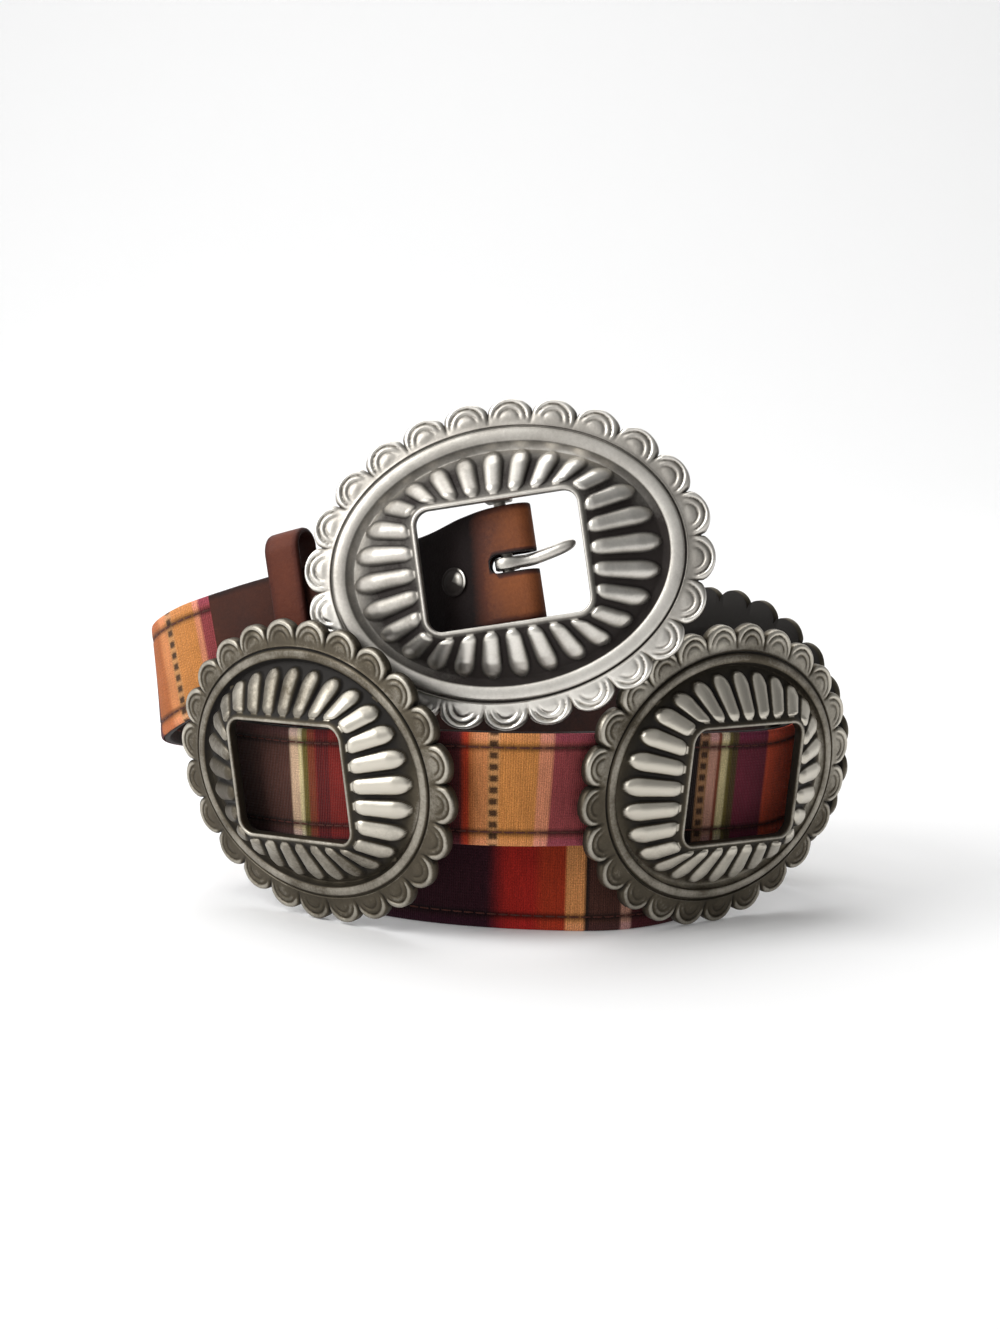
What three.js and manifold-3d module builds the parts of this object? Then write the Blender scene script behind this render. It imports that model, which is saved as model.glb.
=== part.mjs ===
// Western concho belt, rolled into a loose coil and standing on the edges of its plates.
// Millimetres, +Z up, +Y away from the viewer. The strap is one ribbon that spirals inwards
// from the large buckle, past three cast conchos, to a plain leather tip inside the coil.

import * as THREE from 'three';
import { ConvexGeometry } from 'three/addons/geometries/ConvexGeometry.js';
import { mergeVertices } from 'three/addons/utils/BufferGeometryUtils.js';
import Module from 'manifold-3d';

const wasm = await Module();
wasm.setup();

// Strap
const STRAP_WIDTH = 40;
const LEATHER_LOW = -1.7;
const LEATHER_HIGH = 0.5;
const SERAPE_LOW = 0.8;
const SERAPE_HIGH = 1.7;
const STRAP_STEP = 11;
const PART_GAP = 0.3;

// Buckle tab: a leather strip sewn over the strap's end and folded round the buckle's bar
const TAB_THICKNESS = 2.0;
const TAB_WIDTH = 40;
const BAR_FROM_START = 14;
const FOLD_FROM_BAR = 5.6;
const FOLD_SPREAD = 4.1;
const TAB_CLOSED_OFFSET = 1.2;
const TAB_OVER_STRAP_OFFSET = 3.55;
const STRAP_START = 84;
const TAB_OUTER_END = 137.5;
const TAB_INNER_END = 82;
const SLOT_WIDTH = 6.4;
const SLOT_REACH = 6;

// Leather tip, hidden inside the coil
const TIP_LENGTH = 62;
const TIP_THICKNESS = 3.4;
const TIP_HOLE_DIAMETER = 4.5;
const TIP_HOLE_PITCH = 20;
const TIP_HOLES = 2;
const TIP_END_HALF = 4;
const TIP_STEP = 6;

// Keeper loop
const KEEPER_AT = 103.5;
const KEEPER_WIDTH = 14;
const KEEPER_WALL = 2.0;
const KEEPER_CORNER = 2;
const KEEPER_POINTS = 20;
// Inner faces: off the strap's middle surface, and up from its centre line
const KEEPER_INNER = { front: 6.4, back: -3.6, bottom: -22.3, top: 32 };

// Cast plates: an oval of scallops, a raised ring, a sunk field of petals and a lipped window
const SCALLOPS = 24;
const SCALLOP_POINTS = 4;
const OVAL_POINTS = 72;
const BACK_POINTS = 48;
const SCALLOP_DEPTH = 5;
const PETALS = 28;
const RIM_THICKNESS = 2.6;
const DOME_HEIGHT = 15.6;
const LIP_WIDTH = 2.0;
const WALL = 2.4;
const WINDOW_CORNER = 5;
// Insets are distances in from the oval that touches the scallops' peaks
const CONCHO = {
  halfWidth: 64.4,
  halfHeight: 54.6,
  windowHalfWidth: 26.1,
  windowHalfHeight: 20.5,
  ringInset: 13.5,
  fieldInset: 15,
};
const BUCKLE = {
  halfWidth: 71.4,
  halfHeight: 56.8,
  windowHalfWidth: 28.1,
  windowHalfHeight: 20.9,
  ringInset: 15,
  fieldInset: 17.7,
};
const RIM_INSET = 10.3;
const BACK_INSET = 15;
const LIP_SLOPE = 0.6;
const LIP_FOOT = DOME_HEIGHT - 1.6;
const FIELD_FLOOR = RIM_THICKNESS + 0.6;
const PETAL_POINTS = 3;
const PETAL_SHOULDER = 0.3;
// Along a petal, as shares of the way from the window to the field's edge: height above the
// sunk field of the valley beside it and of its crest
const PETAL_SECTIONS = [
  { share: 0, floor: 0, crest: 0.6 },
  { share: 0.68, floor: 0, crest: 3.0 },
  { share: 0.94, floor: 0, crest: 1.9 },
  { share: 1, floor: 0, crest: 0 },
];
const RING_RISE = 2.4;
const RING_OUTER_RISE = 1.9;

// Back loops that hold a concho on the strap
const LOOP_OFFSET = 33;
const LOOP_WIDTH = 5;
const LOOP_HALF_LENGTH = 29.5;
const LOOP_THICKNESS = 2.0;
const LOOP_TOP = -4.7;
const LOOP_POST_DEPTH = 3.4;
const LOOP_POST_TOP = 3.6;

// Buckle bar and prong
const BAR_RADIUS = 2.1;
const BAR_HEIGHT = 3;
const BAR_HALF_LENGTH = 24.1;
const BAR_POST_WIDTH = 9;
const BAR_POST_DEPTH = 3;
const BAR_POST_TOP = DOME_HEIGHT - 2.2;
const PRONG_RING_INNER = 2.45;
const PRONG_RING_OUTER = 4.3;
const PRONG_WIDTH = 4.6;
// The prong's shank in the buckle's own frame: u along the belt, v up, n out of the plate
const PRONG_SECTIONS = [
  { u: 3.0, v: 0, n: 0.6, halfV: 2.2, halfN: 1.7 },
  { u: 9.5, v: 0.1, n: 1.4, halfV: 2.1, halfN: 1.8 },
  { u: 15.5, v: 0.9, n: 2.4, halfV: 2.0, halfN: 1.7 },
  { u: 20.5, v: 2.0, n: 2.6, halfV: 1.8, halfN: 1.5 },
  { u: 23.6, v: 2.8, n: 2.2, halfV: 1.3, halfN: 1.0 },
  { u: 24.5, v: 3.0, n: 2.0, halfV: 0.4, halfN: 0.4 },
];
const PRONG_SIDES = 8;

// Press stud on the tab: cap profile in front, flat base behind, as radius and height
const STUD_FROM_BAR = 19;
const STUD_CLEARANCE = { cap: 0.4, base: 1.2 };
const STUD_CAP = [[0, 0], [5, 0], [5, 0.5], [3.5, 1.3], [0, 1.6]];
const STUD_BASE = [[0, 0], [5, 0], [5, 0.6], [2.5, 1.1], [0, 1.1]];

// Where each plate stands: centre of its back plane, turn about Z, lean and roll in degrees
const PLATES = {
  buckle: { x: 2.3, y: -15, z: 129.3, turn: -9.4, lean: -10.9, roll: 11.0 },
  left: { x: -62.5, y: -5, z: 54.6, turn: -39.4, lean: 8.2, roll: 3.1 },
  right: { x: 76.4, y: 7.2, z: 54.6, turn: 40.2, lean: 5.6, roll: -1.5 },
  rear: { x: 83.7, y: 103.7, z: 54.8, turn: 133, lean: -0.2, roll: -0.8 },
};
// Half the coil's extent past the frame used above, so that the origin is under its middle
const COIL_CENTRE = { x: -0.2, y: 51.8 };

function plateFrame(plate) {
  const turn = new THREE.Group();
  const stand = new THREE.Group();
  const roll = new THREE.Group();
  turn.position.set(plate.x, plate.y, plate.z);
  turn.rotation.z = THREE.MathUtils.degToRad(plate.turn);
  stand.rotation.x = THREE.MathUtils.degToRad(90 + plate.lean);
  roll.rotation.z = THREE.MathUtils.degToRad(plate.roll);
  turn.add(stand);
  stand.add(roll);
  turn.updateMatrixWorld(true);
  return { root: turn, seat: roll };
}

function onPlate(plate, u, v, n) {
  return new THREE.Vector3(u, v, n).applyMatrix4(plateFrame(plate).seat.matrixWorld);
}

// Solids for boolean work

function toManifold(geometry) {
  const bare = geometry.clone();
  bare.deleteAttribute('normal');
  bare.deleteAttribute('uv');
  const merged = mergeVertices(bare, 1e-4);
  const vertProperties = new Float32Array(merged.attributes.position.array);
  const triVerts = new Uint32Array(merged.index.array);
  return new wasm.Manifold(new wasm.Mesh({ numProp: 3, vertProperties, triVerts }));
}

function toGeometry(solid) {
  const mesh = solid.getMesh();
  const geometry = new THREE.BufferGeometry();
  geometry.setAttribute('position', new THREE.BufferAttribute(new Float32Array(mesh.vertProperties), 3));
  geometry.setIndex(new THREE.BufferAttribute(new Uint32Array(mesh.triVerts), 1));
  geometry.computeVertexNormals();
  return geometry;
}

function placed(geometry, x, y, z) {
  return toManifold(geometry.translate(x, y, z));
}

// A closed skin through rings of points; neighbouring rings are joined by triangles in step with
// their shares of a full turn, and the last ring joins the first
function skinOfRings(rings) {
  const positions = rings.flat().flatMap((point) => [point.x, point.y, point.z]);
  const firsts = rings.map((_, r) => rings.slice(0, r).flat().length);
  const index = [];
  rings.forEach((ring, r) => {
    const next = (r + 1) % rings.length;
    const here = (i) => firsts[r] + (i % ring.length);
    const there = (j) => firsts[next] + (j % rings[next].length);
    let i = 0;
    let j = 0;
    while (i < ring.length || j < rings[next].length) {
      const stepHere = (i + 1) / ring.length;
      const stepThere = (j + 1) / rings[next].length;
      if (stepHere <= stepThere) {
        index.push(here(i), there(j), here(i + 1));
        i += 1;
      } else {
        index.push(here(i), there(j), there(j + 1));
        j += 1;
      }
    }
  });
  const geometry = new THREE.BufferGeometry();
  geometry.setAttribute('position', new THREE.Float32BufferAttribute(positions, 3));
  geometry.setIndex(index);
  return geometry;
}

// Cast plates

function ovalCurve(halfWidth, halfHeight) {
  const curve = new THREE.EllipseCurve(0, 0, halfWidth, halfHeight, 0, 2 * Math.PI);
  curve.arcLengthDivisions = 720;
  return curve;
}

// Points at equal lengths along an oval, from its right end, counter-clockwise
function ellipsePoints(halfWidth, halfHeight, count) {
  const curve = ovalCurve(halfWidth, halfHeight);
  return Array.from({ length: count }, (_, i) => curve.getPointAt(i / count));
}

function roundedWindow(halfWidth, halfHeight, corner) {
  const right = halfWidth - corner;
  const top = halfHeight - corner;
  const path = new THREE.Path();
  path.moveTo(halfWidth, 0);
  path.lineTo(halfWidth, top);
  path.absarc(right, top, corner, 0, Math.PI / 2);
  path.lineTo(-right, halfHeight);
  path.absarc(-right, top, corner, Math.PI / 2, Math.PI);
  path.lineTo(-halfWidth, -top);
  path.absarc(-right, -top, corner, Math.PI, 1.5 * Math.PI);
  path.lineTo(right, -halfHeight);
  path.absarc(right, -top, corner, 1.5 * Math.PI, 2 * Math.PI);
  path.closePath();
  return path;
}

function windowPoints(size, grow, count) {
  const window = roundedWindow(
    size.windowHalfWidth + grow,
    size.windowHalfHeight + grow,
    WINDOW_CORNER + grow,
  );
  return Array.from({ length: count }, (_, i) => window.getPointAt(i / count));
}

// The scalloped edge stands out from an ellipse through its valleys
function scallopedPoints(size, count) {
  const base = ellipsePoints(size.halfWidth - SCALLOP_DEPTH, size.halfHeight - SCALLOP_DEPTH, count);
  return base.map((point, i) => {
    const along = (i % SCALLOP_POINTS) / SCALLOP_POINTS;
    const rise = SCALLOP_DEPTH * Math.sqrt(Math.sin(Math.PI * along));
    const before = base[(i + count - 1) % count];
    const after = base[(i + 1) % count];
    const outward = new THREE.Vector2(after.y - before.y, before.x - after.x).normalize();
    return point.clone().addScaledVector(outward, rise);
  });
}

function lifted(points, height) {
  return points.map((point) => new THREE.Vector3(point.x, point.y, height));
}

// The sunk field round the window, with its petals: narrow and low inside, broad and high outside
function petalRings(size) {
  const places = Array.from({ length: PETALS }, (_, petal) => [
    { turn: (petal - PETAL_SHOULDER) / PETALS, raised: 1 },
    { turn: (petal + PETAL_SHOULDER) / PETALS, raised: 1 },
    { turn: (petal + 0.5) / PETALS, raised: 0 },
  ]).flat();
  const foot = LIP_WIDTH + LIP_SLOPE;
  const window = roundedWindow(
    size.windowHalfWidth + foot,
    size.windowHalfHeight + foot,
    WINDOW_CORNER + foot,
  );
  const oval = ovalCurve(size.halfWidth - size.fieldInset, size.halfHeight - size.fieldInset);
  return PETAL_SECTIONS.map(({ share, floor, crest }) => places.map((place) => {
    const turn = (place.turn + 1) % 1;
    const flat = window.getPointAt(turn).lerp(oval.getPointAt(turn), share);
    const field = THREE.MathUtils.lerp(LIP_FOOT, FIELD_FLOOR, share);
    return new THREE.Vector3(flat.x, flat.y, field + (place.raised ? crest : floor));
  }));
}

function plateShell(size) {
  const oval = (inset, height, count) =>
    lifted(ellipsePoints(size.halfWidth - inset, size.halfHeight - inset, count), height);
  const window = (grow, height, count) => lifted(windowPoints(size, grow, count), height);
  const edge = scallopedPoints(size, SCALLOPS * SCALLOP_POINTS);
  const windowCount = PETALS * PETAL_POINTS;
  const rings = [
    window(0, DOME_HEIGHT, windowCount),
    window(LIP_WIDTH, DOME_HEIGHT, windowCount),
    ...petalRings(size),
    oval(size.ringInset, RIM_THICKNESS + RING_RISE, OVAL_POINTS),
    oval(RIM_INSET, RIM_THICKNESS + RING_OUTER_RISE, OVAL_POINTS),
    lifted(edge, RIM_THICKNESS),
    lifted(edge, 0),
    oval(BACK_INSET, 0, BACK_POINTS),
    window(LIP_WIDTH + LIP_SLOPE, LIP_FOOT - WALL, BACK_POINTS),
    window(0, LIP_FOOT - WALL, windowCount),
  ];
  return toManifold(skinOfRings(rings));
}

// A concho's back loops: a bar behind the strap at each side, on two short posts
function backLoops() {
  const low = LOOP_TOP - LOOP_THICKNESS;
  const postCentre = LOOP_HALF_LENGTH - LOOP_POST_DEPTH / 2;
  const solids = [];
  for (const side of [-1, 1]) {
    const bar = new THREE.BoxGeometry(LOOP_WIDTH, 2 * LOOP_HALF_LENGTH, LOOP_THICKNESS);
    solids.push(placed(bar, side * LOOP_OFFSET, 0, LOOP_TOP - LOOP_THICKNESS / 2));
    for (const end of [-1, 1]) {
      const post = new THREE.BoxGeometry(LOOP_WIDTH, LOOP_POST_DEPTH, LOOP_POST_TOP - low);
      solids.push(placed(post, side * LOOP_OFFSET, end * postCentre, (low + LOOP_POST_TOP) / 2));
    }
  }
  return solids;
}

// The buckle's bar crosses the window behind its lip, on a post at each end
function buckleBar() {
  const bar = new THREE.CylinderGeometry(BAR_RADIUS, BAR_RADIUS, 2 * BAR_HALF_LENGTH, 10);
  const solids = [placed(bar, 0, 0, BAR_HEIGHT)];
  const low = BAR_HEIGHT - BAR_RADIUS;
  const postCentre = BAR_HALF_LENGTH - BAR_POST_DEPTH / 2;
  for (const end of [-1, 1]) {
    const post = new THREE.BoxGeometry(BAR_POST_WIDTH, BAR_POST_DEPTH, BAR_POST_TOP - low);
    solids.push(placed(post, 0, end * postCentre, (low + BAR_POST_TOP) / 2));
  }
  return solids;
}

function joined(solids) {
  return solids.reduce((sum, solid) => sum.add(solid));
}

function conchoGeometry() {
  return toGeometry(joined([plateShell(CONCHO), ...backLoops()]));
}

function buckleGeometry() {
  return toGeometry(joined([plateShell(BUCKLE), ...buckleBar()]));
}

// The strap's way through the coil, from the buckle inwards. lean tips its top edge outwards,
// sway tips it along the way it runs, both in degrees from upright.
const BEHIND = 1.2;
const BEHIND_AT_LOOP = -1.5;
const AT_LOOP = 33;
const STATIONS = [
  { point: onPlate(PLATES.buckle, BAR_FROM_START, -0.2, BAR_HEIGHT), lean: -11, sway: 10.9 },
  { point: onPlate(PLATES.buckle, 0, -0.4, BAR_HEIGHT), lean: -11, sway: 10.9 },
  { point: onPlate(PLATES.buckle, -15, -1.75, 0.2), lean: -10, sway: 11 },
  { point: onPlate(PLATES.buckle, -31, -5.15, -8), lean: -8, sway: 12 },
  { point: new THREE.Vector3(-59.5, 19, 105.2), lean: -2, sway: 11 },
  { point: new THREE.Vector3(-88.7, 33, 95.1), lean: 2, sway: 10 },
  { point: new THREE.Vector3(-112.5, 46, 84.9), lean: 5, sway: 11 },
  { point: new THREE.Vector3(-125.2, 66, 74), lean: 6, sway: 12 },
  { point: new THREE.Vector3(-120, 93, 65.8), lean: 5, sway: 11 },
  { point: new THREE.Vector3(-98.9, 118, 61.4), lean: 3, sway: 8 },
  { point: new THREE.Vector3(-62.3, 138, 59.3), lean: 2, sway: 5 },
  { point: new THREE.Vector3(-22.6, 148, 57.5), lean: 1, sway: 3 },
  { point: new THREE.Vector3(17, 147, 56), lean: 0, sway: 1 },
  { point: onPlate(PLATES.rear, AT_LOOP, -1, BEHIND_AT_LOOP), lean: 0, sway: 0 },
  { point: onPlate(PLATES.rear, 0, -1, BEHIND), lean: 0, sway: 0 },
  { point: onPlate(PLATES.rear, -AT_LOOP, -1, BEHIND_AT_LOOP), lean: 0, sway: 0 },
  { point: new THREE.Vector3(114.5, 52, 53), lean: 2, sway: 0 },
  { point: onPlate(PLATES.right, AT_LOOP, -5.3, BEHIND_AT_LOOP), lean: 5.5, sway: 0 },
  { point: onPlate(PLATES.right, 0, -4.7, BEHIND), lean: 5.5, sway: 0 },
  { point: onPlate(PLATES.right, -AT_LOOP, -3.2, BEHIND_AT_LOOP), lean: 5.5, sway: 0 },
  { point: new THREE.Vector3(6.1, -37, 55.2), lean: 7, sway: 0 },
  { point: onPlate(PLATES.left, AT_LOOP, -3, BEHIND_AT_LOOP), lean: 8, sway: -3 },
  { point: onPlate(PLATES.left, 0, -4.5, BEHIND), lean: 8, sway: -3 },
  { point: onPlate(PLATES.left, -AT_LOOP, -5.3, BEHIND_AT_LOOP), lean: 8, sway: -3 },
  { point: new THREE.Vector3(-101.7, 40, 46.3), lean: 5, sway: 2 },
  { point: new THREE.Vector3(-95.9, 64, 44.5), lean: 3, sway: 4 },
  { point: new THREE.Vector3(-73.2, 79, 41.3), lean: 0, sway: 6 },
  { point: new THREE.Vector3(-40.3, 85, 37.3), lean: 0, sway: 7 },
  { point: new THREE.Vector3(-1.9, 86, 32.1), lean: 0, sway: 7 },
  { point: new THREE.Vector3(36.5, 80, 26.6), lean: 0, sway: 6 },
  { point: new THREE.Vector3(63.8, 62, 22.7), lean: 0, sway: 2 },
  { point: new THREE.Vector3(72, 38, 20.2), lean: 0, sway: 0 },
  { point: new THREE.Vector3(63, 12, 20.2), lean: 0, sway: 0 },
  { point: new THREE.Vector3(42, -5, 20.2), lean: 0, sway: 0 },
  { point: new THREE.Vector3(14, -7.5, 20.2), lean: 0, sway: 0 },
  { point: new THREE.Vector3(-18, -1, 20.2), lean: 0, sway: 0 },
  { point: new THREE.Vector3(-41.4, 12, 20.2), lean: 0, sway: 0 },
  { point: new THREE.Vector3(-58.7, 32, 20.2), lean: 0, sway: 0 },
  { point: new THREE.Vector3(-62, 55, 20.2), lean: 0, sway: 0 },
  { point: new THREE.Vector3(-55, 72, 20.2), lean: 0, sway: 0 },
];

const ROUTE = new THREE.CatmullRomCurve3(STATIONS.map((station) => station.point), false, 'centripetal');
ROUTE.arcLengthDivisions = 1200;
const ROUTE_LENGTH = ROUTE.getLength();
const STRAP_END = ROUTE_LENGTH - TIP_LENGTH;

function angleAt(name, share) {
  const place = ROUTE.getUtoTmapping(share) * (STATIONS.length - 1);
  const low = Math.min(Math.floor(place), STATIONS.length - 2);
  const blend = THREE.MathUtils.smoothstep(place - low, 0, 1);
  return THREE.MathUtils.degToRad(THREE.MathUtils.lerp(STATIONS[low][name], STATIONS[low + 1][name], blend));
}

// The point that lies `out` off the strap's middle surface and `up` from its centre line
function onStrap(length, out, up) {
  const share = THREE.MathUtils.clamp(length / ROUTE_LENGTH, 0, 1);
  const tangent = ROUTE.getTangentAt(share);
  const ahead = new THREE.Vector3(tangent.x, tangent.y, 0).normalize();
  const outward = new THREE.Vector3(ahead.y, -ahead.x, 0).negate();
  const lean = angleAt('lean', share);
  const sway = angleAt('sway', share);
  const upward = new THREE.Vector3(0, 0, Math.cos(sway) * Math.cos(lean))
    .addScaledVector(ahead, Math.sin(sway))
    .addScaledVector(outward, Math.cos(sway) * Math.sin(lean))
    .normalize();
  const normal = new THREE.Vector3().crossVectors(upward, tangent).normalize();
  return ROUTE.getPointAt(share).addScaledVector(normal, out).addScaledVector(upward, up);
}

function lengthsBetween(start, end, step) {
  const count = Math.max(1, Math.round((end - start) / step));
  return Array.from({ length: count + 1 }, (_, i) => start + ((end - start) * i) / count);
}

// A solid strip: at each section one place on its under side and one on its face, over a width
function strip(sections, width) {
  const rings = sections.map(({ under, face }) => [
    onStrap(under.length, under.out, -width / 2),
    onStrap(under.length, under.out, width / 2),
    onStrap(face.length, face.out, width / 2),
    onStrap(face.length, face.out, -width / 2),
  ]);
  const index = [];
  rings.slice(1).forEach((_, r) => {
    const here = 4 * r;
    const next = 4 * (r + 1);
    [[0, 1], [1, 2]].forEach(([i, j]) => {
      index.push(here + i, next + i, next + j, here + i, next + j, here + j);
    });
    [[2, 3], [3, 0]].forEach(([i, j]) => {
      index.push(here + i, next + i, here + j, here + j, next + i, next + j);
    });
  });
  const last = 4 * (rings.length - 1);
  index.push(0, 1, 2, 0, 2, 3, last, last + 2, last + 1, last, last + 3, last + 2);
  const positions = rings.flat().flatMap((point) => [point.x, point.y, point.z]);
  const geometry = new THREE.BufferGeometry();
  geometry.setAttribute('position', new THREE.Float32BufferAttribute(positions, 3));
  geometry.setIndex(index);
  return geometry;
}

function layer(start, end, low, high) {
  const sections = lengthsBetween(start, end, STRAP_STEP).map((length) => ({
    under: { length, out: low },
    face: { length, out: high },
  }));
  return strip(sections, STRAP_WIDTH);
}

// The tab's middle line: over the strap, down to the stud, round the bar and back underneath
function tabMiddleLine() {
  const spread = (length) => {
    const nearBar = 1 - THREE.MathUtils.smoothstep(length, BAR_FROM_START + 2, BAR_FROM_START + 15);
    const overStrap = THREE.MathUtils.smoothstep(length, STRAP_START - 14, STRAP_START - 3);
    return TAB_CLOSED_OFFSET
      + (FOLD_SPREAD - TAB_CLOSED_OFFSET) * nearBar
      + (TAB_OVER_STRAP_OFFSET - TAB_CLOSED_OFFSET) * overStrap;
  };
  const foldCentre = BAR_FROM_START - FOLD_FROM_BAR;
  const outer = lengthsBetween(foldCentre, TAB_OUTER_END, 6).reverse()
    .map((length) => ({ length, out: spread(length) }));
  const fold = [1, 2, 3, 4, 5].map((i) => ({
    length: foldCentre - FOLD_SPREAD * Math.sin((Math.PI * i) / 6),
    out: FOLD_SPREAD * Math.cos((Math.PI * i) / 6),
  }));
  const inner = lengthsBetween(foldCentre, TAB_INNER_END, 6)
    .map((length) => ({ length, out: -spread(Math.min(length, STRAP_START - 14)) }));
  return [...outer, ...fold, ...inner];
}

function thickened(line, thickness) {
  return line.map((place, i) => {
    const before = line[Math.max(i - 1, 0)];
    const after = line[Math.min(i + 1, line.length - 1)];
    const across = new THREE.Vector2(before.out - after.out, after.length - before.length)
      .setLength(thickness / 2);
    return {
      under: { length: place.length - across.x, out: place.out - across.y },
      face: { length: place.length + across.x, out: place.out + across.y },
    };
  });
}

function buckleTab() {
  const folded = toManifold(strip(thickened(tabMiddleLine(), TAB_THICKNESS), TAB_WIDTH));
  const slotLength = BAR_FROM_START + SLOT_REACH;
  const slot = new THREE.BoxGeometry(slotLength, SLOT_WIDTH, 20);
  slot.translate(slotLength / 2 - SLOT_REACH, 0, BAR_HEIGHT);
  slot.applyMatrix4(plateFrame(PLATES.buckle).seat.matrixWorld);
  return toGeometry(folded.subtract(toManifold(slot)));
}

// The prong: an eye round the bar, and a shank that passes out through the tab's slot
function buckleProng() {
  const ring = new THREE.LatheGeometry([
    new THREE.Vector2(PRONG_RING_INNER, -PRONG_WIDTH / 2),
    new THREE.Vector2(PRONG_RING_OUTER, -PRONG_WIDTH / 2),
    new THREE.Vector2(PRONG_RING_OUTER, PRONG_WIDTH / 2),
    new THREE.Vector2(PRONG_RING_INNER, PRONG_WIDTH / 2),
    new THREE.Vector2(PRONG_RING_INNER, -PRONG_WIDTH / 2),
  ], 14);
  const rings = PRONG_SECTIONS.map((section) => Array.from({ length: PRONG_SIDES }, (_, i) => {
    const angle = (2 * Math.PI * i) / PRONG_SIDES;
    return new THREE.Vector3(
      section.u,
      section.v + section.halfV * Math.cos(angle),
      section.n + section.halfN * Math.sin(angle),
    );
  }));
  return toGeometry(joined([toManifold(ring), ...hullSpans(rings)])).translate(0, 0, BAR_HEIGHT);
}

// Solid spans between neighbouring rings of points
function hullSpans(rings) {
  return rings.slice(1).map((ring, i) => toManifold(new ConvexGeometry([...rings[i], ...ring])));
}

// A loose loop: a long rounded ring across the strap, bent with it
function keeperLoop() {
  const { front, back, bottom, top } = KEEPER_INNER;
  const radius = (front - back) / 2;
  const middle = (front + back) / 2;
  const ringAt = (length, grow) => {
    const wide = radius + grow;
    const low = bottom - grow + KEEPER_CORNER;
    const path = new THREE.Path();
    path.moveTo(middle + wide, low);
    path.lineTo(middle + wide, top - radius);
    path.absarc(middle, top - radius, wide, 0, Math.PI);
    path.lineTo(middle - wide, low);
    path.absarc(middle - wide + KEEPER_CORNER, low, KEEPER_CORNER, Math.PI, 1.5 * Math.PI);
    path.lineTo(middle + wide - KEEPER_CORNER, bottom - grow);
    path.absarc(middle + wide - KEEPER_CORNER, low, KEEPER_CORNER, 1.5 * Math.PI, 2 * Math.PI);
    path.closePath();
    return Array.from({ length: KEEPER_POINTS }, (_, i) => {
      const place = path.getPointAt(i / KEEPER_POINTS);
      return onStrap(length, place.x, place.y);
    });
  };
  const start = KEEPER_AT - KEEPER_WIDTH / 2;
  const end = KEEPER_AT + KEEPER_WIDTH / 2;
  const outer = [end, start].map((length) => ringAt(length, KEEPER_WALL));
  const inner = [start, end].map((length) => ringAt(length, 0));
  return skinOfRings([...inner, ...outer]);
}

// Moves a turned piece, whose axis is +Y, so that its foot stands on the strap and points off it
function standOnStrap(geometry, length, out, up, side) {
  const foot = onStrap(length, out, up);
  const normal = onStrap(length, out + side, up).sub(foot).normalize();
  geometry.applyQuaternion(new THREE.Quaternion().setFromUnitVectors(new THREE.Vector3(0, 1, 0), normal));
  return geometry.translate(foot.x, foot.y, foot.z);
}

function leatherTip() {
  const start = STRAP_END + PART_GAP;
  const end = ROUTE_LENGTH - 0.5;
  const half = STRAP_WIDTH / 2;
  const halfAt = (length) => {
    const fromRound = half - Math.min(end - length, half);
    return Math.max(TIP_END_HALF, Math.sqrt(half * half - fromRound * fromRound));
  };
  const rings = lengthsBetween(start, end, TIP_STEP).map((length) => [
    onStrap(length, -TIP_THICKNESS / 2, -halfAt(length)),
    onStrap(length, TIP_THICKNESS / 2, -halfAt(length)),
    onStrap(length, TIP_THICKNESS / 2, halfAt(length)),
    onStrap(length, -TIP_THICKNESS / 2, halfAt(length)),
  ]);
  const radius = TIP_HOLE_DIAMETER / 2;
  const holes = Array.from({ length: TIP_HOLES }, (_, i) => {
    const punch = new THREE.CylinderGeometry(radius, radius, 4 * TIP_THICKNESS, 10);
    return toManifold(standOnStrap(punch, start + (i + 1) * TIP_HOLE_PITCH, 0, 0, 1));
  });
  return toGeometry(holes.reduce((rest, hole) => rest.subtract(hole), joined(hullSpans(rings))));
}

// A press stud's cap on the tab's face, or its flat base behind
function pressStud(profile, clearance, side) {
  const geometry = new THREE.LatheGeometry(profile.map(([r, h]) => new THREE.Vector2(r, h)), 14);
  const face = side * (TAB_CLOSED_OFFSET + TAB_THICKNESS / 2 + clearance);
  return standOnStrap(geometry, BAR_FROM_START + STUD_FROM_BAR, face, -1, side);
}

const serape = new THREE.MeshStandardMaterial({ color: 0xb4603a, roughness: 0.9, metalness: 0 });
const brownLeather = new THREE.MeshStandardMaterial({ color: 0x4a2a1c, roughness: 0.6, metalness: 0 });
const tanLeather = new THREE.MeshStandardMaterial({ color: 0x8a4d33, roughness: 0.55, metalness: 0 });
const buckleSilver = new THREE.MeshStandardMaterial({ color: 0xc9c6c0, roughness: 0.35, metalness: 1 });
const conchoSilver = new THREE.MeshStandardMaterial({ color: 0x9a968c, roughness: 0.4, metalness: 1 });

const belt = new THREE.Group();
belt.position.set(-COIL_CENTRE.x, -COIL_CENTRE.y, 0);

function addPiece(name, geometry, material, parent = belt) {
  const mesh = new THREE.Mesh(geometry, material);
  mesh.name = name;
  parent.add(mesh);
  return mesh;
}

function addOnPlate(plate, pieces) {
  const frame = plateFrame(plate);
  pieces.forEach(([name, geometry, material]) => addPiece(name, geometry, material, frame.seat));
  belt.add(frame.root);
}

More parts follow.
